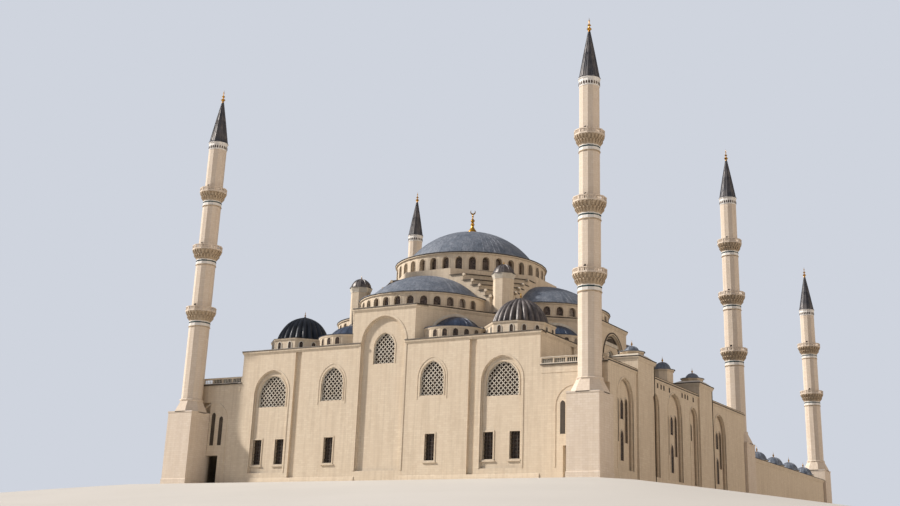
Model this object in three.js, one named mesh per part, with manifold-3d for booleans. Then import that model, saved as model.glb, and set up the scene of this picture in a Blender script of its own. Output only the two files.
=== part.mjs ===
// A domed mosque with six minarets, as a scale model at 1:10.
// Lengths below are metres of the real building; the last step scales them to millimetres.
// The origin is on the ground under the main dome, +Z is up.
// -Y is the front that faces the prayer direction, +Y is the courtyard side.

import * as THREE from 'three';
import { mergeVertices } from 'three/addons/utils/BufferGeometryUtils.js';
import Module from 'manifold-3d';

const wasm = await Module();
wasm.setup();

// Model millimetres for one metre of the real building
const MODEL_SCALE = 100;
// Clearance between neighbours: 0.3 mm on the model
const GAP = 0.003;
// Corners closer than 0.02 mm on the model count as one
const WELD = 0.0002;

// Prayer hall
const HALL_HALF = 42.3;
const WALL = 2.4;
const HALL_INNER = HALL_HALF - WALL;
const FLOOR_TOP = 0.6;
const WING_TOP = 33.2;
const WING_ROOF = 1.0;
const CORNICE_OUT = 0.35;
const CORNICE_HIGH = 0.45;
const WING_ROOF_UNDERSIDE = WING_TOP - WING_ROOF;

// Raised block in the middle of each side, with diagonal flanks that run back to the turrets
const APSE_TOP = 41.86;
const APSE_HALF = 8.9;
const FLANK_END_ALONG = 21.3;
const FLANK_END_DEEP = 24.4;
const FLANK_THICK = 1.6;
const PLATFORM_THICK = 0.9;
const FLANK_RUN = FLANK_END_ALONG - APSE_HALF;
const FLANK_FALL = HALL_HALF - FLANK_END_DEEP;
const FLANK_LENGTH = Math.hypot(FLANK_RUN, FLANK_FALL);
const FLANK_INTO_TURRET = 0.8;

// Half-dome on each raised block
const SEMI_CENTRE = 22.6;
const SEMI_DRUM_R = 17.07;
const SEMI_DRUM_INNER = 15.9;
const SEMI_CORNICE_Z = 45.6;
const SEMI_CAP_Z = 46.1;
const SEMI_CAP_R = 15.5;
const SEMI_CAP_TOP = 53.3;
const SEMI_SHELL = 0.8;
const SEMI_WINDOWS = 14;
const SEMI_WINDOW = { halfWidth: 0.9, sill: 42.7, apex: 45.0 };
const SEMI_SIDES = 32;

// Small half-domes on the diagonal flanks
const EXEDRA_AT = 11.0;
const EXEDRA_R = 8.4;
const EXEDRA_INNER = 7.4;
const EXEDRA_TOP = 36.2;
const EXEDRA_CAP_R = 6.0;
const EXEDRA_CAP_TOP = 39.6;
const EXEDRA_SHELL = 0.6;
const EXEDRA_SIDES = 20;

// Ribbed domes on the four corners of the hall
const CORNER_AT = 31.8;
const CORNER_DRUM_R = 8.3;
const CORNER_DRUM_WALL = 0.9;
const CORNER_DRUM_TOP = 36.5;
const RIBBED_R = 6.9;
const RIBBED_TOP = 43.5;
const RIBBED_LOBES = 26;
const RIB_DEPTH = 0.28;
const RIBBED_SHELL = 0.7;

// Great piers whose octagonal heads stand clear as turrets
const TURRET_AT = 21.6;
const TURRET_R = 2.63;
const TURRET_CORNICE = 52.4;
const TURRET_CAP_R = 2.55;
const TURRET_CAP_TOP = 54.9;

// Stepped base between the turrets: [top, half width of the gable at that height]
const BASE_HALF = 23.0;
const BASE_INNER_R = 19.2;
const BASE_STEPS = [
  [47.0, 18.5],
  [48.6, 17.1],
  [50.1, 15.3],
  [51.6, 13.2],
  [53.3, 10.6],
  [55.3, 6.8],
];
const BASE_TOP = BASE_STEPS[BASE_STEPS.length - 1][0];
const BASE_ARCH = { halfWidth: 14.4, spring: 44.6, apex: 51.8 };

// Main drum and dome
const DRUM_R = 20.5;
const DRUM_INNER = 18.9;
const DRUM_TOP = 60.4;
const DRUM_CORNICE_R = 20.9;
const DRUM_CORNICE_HIGH = 0.4;
const DRUM_WINDOWS = 36;
const DRUM_WINDOW = { halfWidth: 0.92, sill: 55.7, apex: 59.3 };
const DOME_SKIRT_R = 20.4;
const DOME_R = 18.0;
const DOME_BASE_Z = 61.0;
const DOME_TOP = 70.8;
const DOME_SHELL = 0.9;
const FINIAL_TOP = 78.1;

// Galleries along both sides of the hall
const COMPLEX_HALF = 58.7;
const GALLERY_TOP = 25.4;
const GALLERY_ROOF = 0.8;
const GALLERY_WALL = 1.6;
const GALLERY_RECESS = 1.0;
const PARAPET_TOP = 26.1;
const PARAPET_THICK = 0.5;
const BALUSTRADE_TOP = 26.9;
// Gaps of the front balustrade, between its posts and under its rail
const BALUSTRADE = { first: 42.6, bay: 3.1, gap: 2.85, bays: 5, bottom: 25.6, top: 26.65 };
const PAVILION_TOP = 29.2;
const PAVILION_DEEP = 6.2;
const PAVILION_OUT = 0.5;
const PAVILIONS = [[-25.8, -15.2], [16.7, 27.2]];
// Small domes: radius and top of the drum, its ledge, radius and crown of the dome
const DOME_LEDGE = { out: 0.3, high: 0.35 };
const PAVILION_DOME = { drumRadius: 2.75, drumTop: 30.8, radius: 1.7, crown: 32.3 };
const GALLERY_DOME = { drumRadius: 2.75, drumTop: 29.8, radius: 1.95, crown: 31.8 };
const GALLERY_DOME_AT = [55.4, 0.3];
const GALLERY_ARCH_SILL = 3.0;
const GALLERY_WINDOW = { halfWidth: 0.9, sill: 14.0, spring: 17.0, apex: 18.4 };
const GALLERY_DOOR_X = [48, 52];

// Prayer portico and courtyard behind the hall
const PORTICO_END = 56.2;
const PORTICO_TOP = 22.0;
const COURT_END = 145.2;
const COURT_TOP = 14.5;
const COURT_ROOF = 0.7;
const COURT_WALL = 1.2;
const ARCADE_DEEP = 9.0;
const SIDE_BAYS = 5;
const GATE_BAYS = 5;
const PORTICO_BAYS = 5;
// Domes of the portico and the ranges, as shares of the drum's radius
const ROW_DOME = { drumHigh: 0.35, radius: 0.92, crown: 1.2 };
const PORTICO_DOME_R = 5.2;
const PORTICO_ARCH_TOP = 16.5;
const COURT_DOME_R = 2.95;
const COURT_ARCH_TOP = 11.0;
const BACK_DOOR = { halfWidth: 3.0, spring: 7.0, apex: 10.5 };

// Minarets: [name, x, y, number of balconies]
const MINARET_X = 55.72;
const MINARETS = [
  ['front_right', MINARET_X, -45.27, 3],
  ['front_left', -MINARET_X, -45.27, 3],
  ['middle_right', MINARET_X, 59.16, 3],
  ['middle_left', -MINARET_X, 59.16, 3],
  ['rear_right', MINARET_X, 148.15, 2],
  ['rear_left', -MINARET_X, 148.15, 2],
];
const MINARET_SIDES = 12;
const MINARET_PHASE = Math.PI / MINARET_SIDES;
const PLINTH_HALF = 3.95;
const PLINTH_TOP = 18.0;
const SHOE_TOP = 20.8;
const FINIAL_BALL_R = 0.45;
// Each balcony: band below it, underside of the slab, top of the parapet, its radius, shaft radius above
const LOW_BALCONY = { band: 41.8, slab: 43.9, parapet: 45.15, radius: 3.92, above: 2.57 };
const MID_BALCONY = { band: 58.3, slab: 60.5, parapet: 61.8, radius: 3.9, above: 2.42 };
const HIGH_BALCONY = { band: 74.6, slab: 76.6, parapet: 77.9, radius: 3.58, above: 2.38 };
const SHAFT_R = 2.67;
const TALL_CONE = { base: 90.94, top: 103.35, tip: 107.1 };
const SHORT_CONE = { base: 73.95, top: 86.3, tip: 90.0 };
const CONE_R = 2.47;

// Finishes
const LIMESTONE = new THREE.MeshStandardMaterial({ color: 0xd8c8ae, roughness: 0.85, metalness: 0 });
const LEAD = new THREE.MeshStandardMaterial({ color: 0x5f6b7c, roughness: 0.55, metalness: 0.5 });
const DARK_LEAD = new THREE.MeshStandardMaterial({ color: 0x32343f, roughness: 0.5, metalness: 0.5 });
const GILT = new THREE.MeshStandardMaterial({ color: 0xc79a3c, roughness: 0.3, metalness: 1 });
const PAVING = new THREE.MeshStandardMaterial({ color: 0xb9ad98, roughness: 0.8, metalness: 0 });

const QUARTER = Math.PI / 2;
const degrees = THREE.MathUtils.degToRad;

// A closed mesh with merged corners, no empty triangles, and its faces pointing out
function toSolid(geometry) {
  const bare = new THREE.BufferGeometry();
  bare.setAttribute('position', geometry.getAttribute('position').clone());
  if (geometry.index) bare.setIndex(geometry.index.clone());
  const merged = mergeVertices(bare, 1e-5);
  const vertices = merged.getAttribute('position').array;
  const source = merged.index.array;
  const triangles = [];
  let volume = 0;
  const a = new THREE.Vector3();
  const b = new THREE.Vector3();
  const c = new THREE.Vector3();
  for (let i = 0; i < source.length; i += 3) {
    const [p, q, r] = [source[i], source[i + 1], source[i + 2]];
    if (p === q || q === r || r === p) continue;
    triangles.push(p, q, r);
    a.fromArray(vertices, 3 * p);
    b.fromArray(vertices, 3 * q);
    c.fromArray(vertices, 3 * r);
    volume += a.dot(b.cross(c));
  }
  if (volume < 0) {
    for (let i = 0; i < triangles.length; i += 3) {
      [triangles[i + 1], triangles[i + 2]] = [triangles[i + 2], triangles[i + 1]];
    }
  }
  return new wasm.Manifold(new wasm.Mesh({
    numProp: 3,
    vertProperties: new Float32Array(vertices),
    triVerts: new Uint32Array(triangles),
  }));
}

function toMesh(name, solid, material) {
  const { vertProperties, triVerts } = solid.getMesh();
  const raw = new THREE.BufferGeometry();
  raw.setAttribute('position', new THREE.BufferAttribute(vertProperties, 3));
  raw.setIndex(new THREE.BufferAttribute(triVerts, 1));
  const geometry = mergeVertices(raw, WELD);
  const welded = geometry.index.array;
  const kept = [];
  for (let i = 0; i < welded.length; i += 3) {
    const [p, q, r] = [welded[i], welded[i + 1], welded[i + 2]];
    if (p !== q && q !== r && r !== p) kept.push(p, q, r);
  }
  geometry.setIndex(kept);
  geometry.computeVertexNormals();
  const mesh = new THREE.Mesh(geometry, material);
  mesh.name = name;
  return mesh;
}

// Joins and cuts of lists of solids, and a turn about the vertical axis
const join = (solids) => solids.reduce((sum, solid) => sum.add(solid));
const cut = (solid, cutters) => cutters.reduce((rest, cutter) => rest.subtract(cutter), solid);
const turn = (solid, angle) => solid.rotate([0, 0, THREE.MathUtils.radToDeg(angle)]);

function box(xRange, yRange, zRange) {
  const [[x0, x1], [y0, y1], [z0, z1]] = [xRange, yRange, zRange];
  const geometry = new THREE.BoxGeometry(x1 - x0, y1 - y0, z1 - z0);
  geometry.translate((x0 + x1) / 2, (y0 + y1) / 2, (z0 + z1) / 2);
  return toSolid(geometry);
}

function toShape(points) {
  return new THREE.Shape(points.map(([x, y]) => new THREE.Vector2(x, y)));
}

// An outline in plan, raised from one height to another
function prism(outline, bottom, top) {
  const geometry = new THREE.ExtrudeGeometry(toShape(outline), { depth: top - bottom, bevelEnabled: false });
  geometry.translate(0, 0, bottom);
  return toSolid(geometry);
}

// A profile of [radius, height] pairs turned about the vertical axis
function turned(profile, sides, phase = 0) {
  const points = profile.map(([radius, height]) => new THREE.Vector2(radius, height));
  const geometry = new THREE.LatheGeometry(points, sides);
  geometry.rotateX(QUARTER);
  geometry.rotateZ(phase);
  return toSolid(geometry);
}

// Profile points of a spherical cap, from its foot to its crown
function capArc(footRadius, footZ, crownZ, steps) {
  const rise = crownZ - footZ;
  const sphere = (footRadius * footRadius + rise * rise) / (2 * rise);
  const opening = Math.asin(Math.min(1, footRadius / sphere));
  const span = rise > sphere ? Math.PI - opening : opening;
  const arc = [];
  for (let i = 0; i <= steps; i += 1) {
    const angle = span * (1 - i / steps);
    arc.push([i === steps ? 0 : sphere * Math.sin(angle), crownZ - sphere * (1 - Math.cos(angle))]);
  }
  return arc;
}

// A pointed arch above a sill, as an outline of [across, height] pairs
function pointedArch(centre, halfWidth, sill, spring, apex, steps = 3) {
  const rise = apex - spring;
  const radius = (halfWidth * halfWidth + rise * rise) / (2 * halfWidth);
  const crown = Math.asin(Math.min(1, rise / radius));
  const right = [];
  for (let i = 0; i < steps; i += 1) {
    const angle = (crown * i) / steps;
    right.push([halfWidth - radius * (1 - Math.cos(angle)), spring + radius * Math.sin(angle)]);
  }
  const left = right.map(([across, height]) => [-across, height]).reverse();
  const outline = [[-halfWidth, sill], [halfWidth, sill], ...right, [0, apex], ...left];
  return outline.map(([across, height]) => [centre + across, height]);
}

// A low arch: part of one circle
function segmentArch(halfWidth, sill, spring, apex, steps) {
  const arc = capArc(halfWidth, spring, apex, steps);
  const left = arc.slice(0, -1).map(([across, height]) => [-across, height]).reverse();
  return [[-halfWidth, sill], [halfWidth, sill], ...arc, ...left];
}

// An outline of [across, height] pairs pushed through a wall that faces -Y
function through(outline, yRange) {
  const [near, far] = yRange;
  const geometry = new THREE.ExtrudeGeometry(toShape(outline), { depth: far - near, bevelEnabled: false });
  geometry.rotateX(QUARTER);
  geometry.translate(0, far, 0);
  return toSolid(geometry);
}

// Round-headed openings in a drum: how many, degrees between them, and the first one's degrees from -Y
function drumOpenings(count, step, first, radii, { halfWidth, sill, apex }) {
  const [inner, outer] = radii;
  const outline = pointedArch(0, halfWidth, sill, apex - halfWidth, apex, 2);
  const opening = through(outline, [-outer, -inner]);
  return Array.from({ length: count }, (_, i) => turn(opening, degrees(first + i * step)));
}

const part = new THREE.Group();
part.scale.setScalar(MODEL_SCALE);

function add(name, solid, material, parent = part) {
  const mesh = toMesh(name, solid, material);
  parent.add(mesh);
  return mesh;
}

// Octagon whose sides face the axes, grown by a clearance where it is used as a cutter
function turretFootprint(clearance) {
  const radius = TURRET_R + clearance;
  return Array.from({ length: 8 }, (_, i) => {
    const angle = degrees(22.5 + 45 * i);
    return [TURRET_AT + radius * Math.cos(angle), -TURRET_AT + radius * Math.sin(angle)];
  });
}

const turretCutter = prism(turretFootprint(GAP), 0, APSE_TOP + 20);
const turretCutters = [0, 1, 2, 3].map((k) => turn(turretCutter, k * QUARTER));

// Points of a raised block's right flank, moved inwards from its outer face
function flankPoint(along, inward) {
  const [tx, ty] = [FLANK_RUN / FLANK_LENGTH, FLANK_FALL / FLANK_LENGTH];
  return [APSE_HALF + tx * along - ty * inward, -HALL_HALF + ty * along + tx * inward];
}

const mirrored = (points) => points.map(([x, y]) => [-x, y]).reverse();

// Where the flank's outer face meets the inner face of the hall wall
const FLANK_AT_INNER = APSE_HALF + (FLANK_RUN * WALL) / FLANK_FALL;

// Windows of a hall wall that faces -Y, the same on all four sides above the galleries
const LATTICE_WINDOWS = [
  { centre: 0, halfWidth: 3.0, sill: 28.1, spring: 32.0, apex: 35.6 },
  { centre: 14.2, halfWidth: 3.2, sill: 19.8, spring: 24.0, apex: 27.9 },
  { centre: -14.2, halfWidth: 3.2, sill: 19.8, spring: 24.0, apex: 27.9 },
  { centre: 32.6, halfWidth: 4.2, sill: 19.0, spring: 22.4, apex: 26.8 },
  { centre: -32.6, halfWidth: 4.2, sill: 19.0, spring: 22.4, apex: 26.8 },
];
const LOWER_WINDOWS = { centres: [-36, -29.2, -14.2, 14.2, 29.2, 36], halfWidth: 1.3, sill: 5.0, top: 11.0 };
const GREAT_ARCH = { halfWidth: 6.3, sill: 3.0, spring: 33.0, apex: 39.6, depth: 0.7 };
const CORNER_ARCH = { centre: 32.6, halfWidth: 5.3, sill: 3.0, spring: 22.4, apex: 28.1, depth: 0.5 };
const GROOVE = { near: 24.0, far: 25.9, depth: 0.6 };
const DOORWAY = { halfWidth: 2.2, top: 7.5 };

// One wall of the hall, drawn facing -Y; long walls reach the corners, short ones stand between them
function hallWall(reach, hasLowerWindows, doorways) {
  const face = -HALL_HALF;
  const inner = -HALL_INNER;
  const beyond = [face - 1, inner + 1];
  const body = box([-reach, reach], [face, inner], [0, WING_TOP]);
  const crown = prism([
    [-APSE_HALF, face],
    [APSE_HALF, face],
    [FLANK_AT_INNER, inner],
    [-FLANK_AT_INNER, inner],
  ], WING_TOP - 1, APSE_TOP);
  const arch = pointedArch(0, GREAT_ARCH.halfWidth, GREAT_ARCH.sill, GREAT_ARCH.spring, GREAT_ARCH.apex, 5);
  const cornice = box(
    [-HALL_HALF - CORNICE_OUT, HALL_HALF + CORNICE_OUT],
    [face - CORNICE_OUT, face + 0.2],
    [WING_TOP - CORNICE_HIGH, WING_TOP],
  );
  const crownCornice = box(
    [-APSE_HALF - CORNICE_OUT, APSE_HALF + CORNICE_OUT],
    [face - CORNICE_OUT, face + 0.2],
    [APSE_TOP - CORNICE_HIGH, APSE_TOP],
  );
  const cutters = [through(arch, [face - 1, face + GREAT_ARCH.depth])];
  for (const side of [-1, 1]) {
    const recess = pointedArch(
      side * CORNER_ARCH.centre,
      CORNER_ARCH.halfWidth,
      CORNER_ARCH.sill,
      CORNER_ARCH.spring,
      CORNER_ARCH.apex,
      3,
    );
    cutters.push(through(recess, [face - 1, face + CORNER_ARCH.depth]));
    const groove = [side * GROOVE.near, side * GROOVE.far].sort((p, q) => p - q);
    cutters.push(box(groove, [face - 1, face + GROOVE.depth], [-1, WING_TOP - CORNICE_HIGH]));
  }
  for (const { centre, halfWidth, sill, spring, apex } of LATTICE_WINDOWS) {
    cutters.push(through(pointedArch(centre, halfWidth, sill, spring, apex, 3), beyond));
  }
  if (hasLowerWindows) {
    for (const centre of LOWER_WINDOWS.centres) {
      const { halfWidth, sill, top } = LOWER_WINDOWS;
      cutters.push(box([centre - halfWidth, centre + halfWidth], beyond, [sill, top]));
    }
  }
  for (const centre of doorways) {
    const [low, high] = [centre - DOORWAY.halfWidth, centre + DOORWAY.halfWidth];
    cutters.push(box([low, high], beyond, [FLOOR_TOP, DOORWAY.top]));
  }
  return cut(join([body, crown, cornice, crownCornice]), cutters);
}

const longReach = HALL_HALF;
const shortReach = HALL_INNER - GAP;
const frontWall = hallWall(longReach, true, []);
const rearWall = turn(hallWall(longReach, true, [0]), 2 * QUARTER);
const cornerPosts = [-1, 1].map((side) => {
  const strip = [side * shortReach, side * (HALL_HALF + 1)].sort((p, q) => p - q);
  return box(strip, [-HALL_HALF - 1, -HALL_INNER + 1], [-1, WING_TOP + 1]);
});
const sideWall = cut(hallWall(longReach, false, [-24, 24]), cornerPosts);
add('front_wall', frontWall, LIMESTONE);
add('entrance_wall', rearWall, LIMESTONE);
add('right_wall', turn(sideWall, QUARTER), LIMESTONE);
add('left_wall', turn(sideWall, -QUARTER), LIMESTONE);

const floorReach = HALL_INNER - GAP;
add('hall_floor', box([-floorReach, floorReach], [-floorReach, floorReach], [0, FLOOR_TOP]), PAVING);

// Flat corner roof with the eight-sided drum of the ribbed dome
function cornerRoof() {
  const inner = HALL_INNER - GAP;
  const [nearX, nearY] = flankPoint(FLANK_LENGTH, FLANK_THICK);
  const flankStart = flankPoint((FLANK_LENGTH * WALL) / FLANK_FALL, FLANK_THICK);
  const inset = TURRET_AT - TURRET_R - 0.07;
  const plate = prism([
    [flankStart[0], -inner],
    [inner, -inner],
    [inner, -flankStart[0]],
    [-nearY, -nearX],
    [-nearY, -inset],
    [inset, -inset],
    [inset, nearY],
    [nearX, nearY],
  ], WING_ROOF_UNDERSIDE, WING_TOP);
  const phase = degrees(22.5);
  const seat = CORNER_DRUM_R - CORNER_DRUM_WALL;
  const drum = turned([
    [0, WING_ROOF_UNDERSIDE],
    [CORNER_DRUM_R, WING_ROOF_UNDERSIDE],
    [CORNER_DRUM_R, CORNER_DRUM_TOP - 0.35],
    [CORNER_DRUM_R + 0.2, CORNER_DRUM_TOP - 0.35],
    [CORNER_DRUM_R + 0.2, CORNER_DRUM_TOP],
    [0, CORNER_DRUM_TOP],
  ], 8, phase);
  const hollow = turned([
    [0, WING_ROOF_UNDERSIDE - 1],
    [seat, WING_ROOF_UNDERSIDE - 1],
    [seat, CORNER_DRUM_TOP - 0.6],
    [RIBBED_R - RIBBED_SHELL, CORNER_DRUM_TOP - 0.6],
    [RIBBED_R - RIBBED_SHELL, CORNER_DRUM_TOP + 1],
    [0, CORNER_DRUM_TOP + 1],
  ], 8, phase);
  const place = [CORNER_AT, -CORNER_AT, 0];
  const carried = join([plate, drum.translate(place)]);
  return cut(carried, [hollow.translate(place), turretCutter]);
}

// A dome whose outer face is folded into lobes, hollow inside
function ribbedDome() {
  const steps = 4;
  const foot = CORNER_DRUM_TOP + GAP;
  const arc = capArc(RIBBED_R, foot, RIBBED_TOP, steps);
  const count = RIBBED_LOBES * 2;
  const positions = [0, 0, foot];
  for (const [radius, height] of arc.slice(0, -1)) {
    const fold = RIB_DEPTH * (radius / RIBBED_R);
    for (let i = 0; i < count; i += 1) {
      const reach = i % 2 ? radius - fold : radius;
      const angle = (2 * Math.PI * i) / count;
      positions.push(reach * Math.cos(angle), reach * Math.sin(angle), height);
    }
  }
  positions.push(0, 0, RIBBED_TOP);
  const crown = positions.length / 3 - 1;
  const index = [];
  const at = (ring, i) => 1 + ring * count + (i % count);
  for (let i = 0; i < count; i += 1) {
    index.push(0, at(0, i + 1), at(0, i));
    index.push(crown, at(steps - 1, i), at(steps - 1, i + 1));
    for (let ring = 0; ring < steps - 1; ring += 1) {
      index.push(at(ring, i), at(ring, i + 1), at(ring + 1, i));
      index.push(at(ring, i + 1), at(ring + 1, i + 1), at(ring + 1, i));
    }
  }
  const geometry = new THREE.BufferGeometry();
  geometry.setAttribute('position', new THREE.Float32BufferAttribute(positions, 3));
  geometry.setIndex(index);
  const inner = RIBBED_R - RIBBED_SHELL;
  const hollow = turned([
    [0, foot - 1],
    [inner, foot - 1],
    ...capArc(inner, foot, RIBBED_TOP - RIBBED_SHELL, 3),
  ], 12);
  return toSolid(geometry).subtract(hollow);
}

const CORNERS = ['front_right', 'rear_right', 'rear_left', 'front_left'];
const cornerRoofSolid = cornerRoof();
const ribbedDomeSolid = ribbedDome();
CORNERS.forEach((corner, k) => {
  const group = new THREE.Group();
  group.rotation.z = k * QUARTER;
  part.add(group);
  add(`corner_roof_${corner}`, cornerRoofSolid, LIMESTONE, group);
  const dome = add(`ribbed_dome_${corner}`, ribbedDomeSolid, DARK_LEAD, group);
  dome.position.set(CORNER_AT, -CORNER_AT, 0);
  const pier = add(`pier_turret_${corner}`, pierTurret(), LIMESTONE, group);
  pier.position.set(TURRET_AT, -TURRET_AT, 0);
});

// Great pier from the floor to its turret head, with a small lead cap
function pierTurret() {
  return turned([
    [0, FLOOR_TOP + GAP],
    [TURRET_R, FLOOR_TOP + GAP],
    [TURRET_R, TURRET_CORNICE - 1.2],
    [TURRET_R + 0.25, TURRET_CORNICE - 0.4],
    [TURRET_R + 0.25, TURRET_CORNICE],
    ...capArc(TURRET_CAP_R, TURRET_CORNICE + 0.1, TURRET_CAP_TOP, 3),
  ], 8, degrees(22.5));
}

// Raised block behind a hall wall: two diagonal flanks under a platform for the half-dome
function apse() {
  const start = (FLANK_LENGTH * (WALL + GAP)) / FLANK_FALL;
  const end = FLANK_LENGTH + FLANK_INTO_TURRET;
  const strip = (outer, inner) => [
    flankPoint(start, outer),
    flankPoint(end, outer),
    flankPoint(end, inner),
    flankPoint(start, inner),
  ];
  const flank = prism(strip(0, FLANK_THICK), WING_TOP + GAP, APSE_TOP - 0.1);
  const lip = prism(strip(-CORNICE_OUT, 0.2), APSE_TOP - CORNICE_HIGH, APSE_TOP);
  const innerCorner = TURRET_AT - TURRET_R - 0.4;
  const outline = [
    flankPoint(start, 0),
    flankPoint(end, 0),
    [TURRET_AT, -TURRET_AT - GAP],
    [innerCorner, -innerCorner - GAP],
  ];
  const platform = prism([...outline, ...mirrored(outline)], APSE_TOP - PLATFORM_THICK, APSE_TOP);
  const mirror = (solid) => solid.mirror([1, 0, 0]);
  const well = turned([
    [0, WING_TOP],
    [SEMI_DRUM_INNER - 0.1, WING_TOP],
    [SEMI_DRUM_INNER - 0.1, APSE_TOP + 1],
    [0, APSE_TOP + 1],
  ], 24).translate([0, -SEMI_CENTRE, 0]);
  const insideWall = box([-50, 50], [-HALL_HALF - 5, -HALL_INNER + GAP], [0, 60]);
  const solid = join([platform, flank, mirror(flank), lip, mirror(lip)]);
  return cut(solid, [well, insideWall, turretCutter, turn(turretCutter, -QUARTER)]);
}

// Half-dome on a drum with arched windows, closed at the back by the stepped base
function semiDome() {
  const foot = APSE_TOP + GAP;
  const outside = turned([
    [0, foot],
    [SEMI_DRUM_R, foot],
    [SEMI_DRUM_R, SEMI_CORNICE_Z],
    [SEMI_DRUM_R + CORNICE_OUT, SEMI_CORNICE_Z],
    [SEMI_DRUM_R + CORNICE_OUT, SEMI_CAP_Z - 0.1],
    ...capArc(SEMI_CAP_R, SEMI_CAP_Z, SEMI_CAP_TOP, 3),
  ], SEMI_SIDES);
  const inside = turned([
    [0, foot - 1],
    [SEMI_DRUM_INNER, foot - 1],
    [SEMI_DRUM_INNER, SEMI_CORNICE_Z - 0.5],
    ...capArc(SEMI_CAP_R - SEMI_SHELL, SEMI_CORNICE_Z, SEMI_CAP_TOP - SEMI_SHELL, 2),
  ], SEMI_SIDES / 2);
  const step = 360 / SEMI_SIDES;
  const first = -step * (SEMI_WINDOWS - 1) / 2;
  const openings = drumOpenings(SEMI_WINDOWS, step, first, [SEMI_DRUM_INNER - 1.4, 18], SEMI_WINDOW);
  const behind = box([-30, 30], [SEMI_CENTRE - BASE_HALF - GAP, 30], [40, 60]);
  return cut(outside, [inside, behind, ...openings]);
}

// Small half-dome on a many-sided drum, seated against a diagonal flank and facing -Y
function exedra() {
  const foot = WING_TOP + GAP;
  const outside = turned([
    [0, foot],
    [EXEDRA_R, foot],
    [EXEDRA_R, EXEDRA_TOP],
    ...capArc(EXEDRA_CAP_R, EXEDRA_TOP + 0.2, EXEDRA_CAP_TOP, 3),
  ], EXEDRA_SIDES);
  const inside = turned([
    [0, foot - 1],
    [EXEDRA_INNER, foot - 1],
    [EXEDRA_INNER, EXEDRA_TOP - 0.5],
    ...capArc(EXEDRA_CAP_R - EXEDRA_SHELL, EXEDRA_TOP, EXEDRA_CAP_TOP - EXEDRA_SHELL, 2),
  ], EXEDRA_SIDES / 2);
  return cut(outside, [inside, box([-10, 10], [-GAP, 10], [30, 45])]);
}

const SIDES = ['front', 'right', 'rear', 'left'];
const apseSolid = apse();
const semiDomeSolid = semiDome();
const exedraSolid = exedra();
const flankHeading = Math.atan2(FLANK_FALL, FLANK_RUN);
SIDES.forEach((side, k) => {
  const group = new THREE.Group();
  group.rotation.z = k * QUARTER;
  part.add(group);
  add(`apse_${side}`, apseSolid, LIMESTONE, group);
  const semi = add(`semi_dome_${side}`, semiDomeSolid, LEAD, group);
  semi.position.set(0, -SEMI_CENTRE, 0);
  for (const [hand, sign] of [['right', 1], ['left', -1]]) {
    const [x, y] = flankPoint(EXEDRA_AT, 0);
    const mesh = add(`exedra_${side}_${hand}`, exedraSolid, LEAD, group);
    mesh.position.set(sign * x, y, 0);
    mesh.rotation.z = sign * flankHeading;
  }
});

// Stepped base: each course is a square with its corners cut back along the diagonal
function steppedBase() {
  const courses = BASE_STEPS.map(([top, half], i) => {
    const bottom = i ? BASE_STEPS[i - 1][0] - 0.1 : APSE_TOP + GAP;
    const corner = [[half, -BASE_HALF], [BASE_HALF, -half]];
    const outline = [0, 1, 2, 3].flatMap((k) => corner.map(([x, y]) => {
      const [c, s] = [Math.round(Math.cos(k * QUARTER)), Math.round(Math.sin(k * QUARTER))];
      return [x * c - y * s, x * s + y * c];
    }));
    return prism(outline, bottom, top);
  });
  const well = turned([
    [0, APSE_TOP - 1],
    [BASE_INNER_R, APSE_TOP - 1],
    [BASE_INNER_R, BASE_TOP + 1],
    [0, BASE_TOP + 1],
  ], 20);
  const { halfWidth, spring, apex } = BASE_ARCH;
  const arch = through(segmentArch(halfWidth, APSE_TOP - 1, spring, apex, 4), [-30, 30]);
  return cut(join(courses), [well, arch, turn(arch, QUARTER), ...turretCutters]);
}

function mainDrum() {
  const foot = BASE_TOP + GAP;
  const outside = turned([
    [0, foot],
    [DRUM_R, foot],
    [DRUM_R, DRUM_TOP - DRUM_CORNICE_HIGH],
    [DRUM_CORNICE_R, DRUM_TOP - DRUM_CORNICE_HIGH],
    [DRUM_CORNICE_R, DRUM_TOP],
    [0, DRUM_TOP],
  ], DRUM_WINDOWS, Math.PI / DRUM_WINDOWS);
  const inside = turned([
    [0, foot - 1],
    [DRUM_INNER, foot - 1],
    [DRUM_INNER, DRUM_TOP + 1],
    [0, DRUM_TOP + 1],
  ], DRUM_WINDOWS, Math.PI / DRUM_WINDOWS);
  const openings = drumOpenings(DRUM_WINDOWS, 360 / DRUM_WINDOWS, 0, [DRUM_INNER - 0.9, 22], DRUM_WINDOW);
  return cut(outside, [inside, ...openings]);
}

function mainDome() {
  const foot = DRUM_TOP + GAP;
  const outside = turned([
    [0, foot],
    [DOME_SKIRT_R, foot],
    [DOME_SKIRT_R, foot + 0.15],
    ...capArc(DOME_R, DOME_BASE_Z, DOME_TOP, 5),
  ], DRUM_WINDOWS, Math.PI / DRUM_WINDOWS);
  const inner = DOME_R - DOME_SHELL;
  const inside = turned([
    [0, foot - 1],
    [inner, foot - 1],
    ...capArc(inner, foot, DOME_TOP - DOME_SHELL, 3),
  ], DRUM_WINDOWS / 2);
  return outside.subtract(inside);
}

function mainFinial() {
  const foot = DOME_TOP + GAP;
  return turned([
    [0, foot],
    [1.4, foot],
    [1.3, foot + 0.9],
    [0.35, foot + 2.1],
    [0.55, foot + 2.8],
    [0.25, foot + 3.3],
    [0.6, foot + 3.9],
    [0.2, foot + 4.5],
    [0, FINIAL_TOP],
  ], 12);
}

add('stepped_base', steppedBase(), LIMESTONE);
add('main_drum', mainDrum(), LIMESTONE);
add('main_dome', mainDome(), LEAD);
add('main_finial', mainFinial(), GILT);

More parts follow.
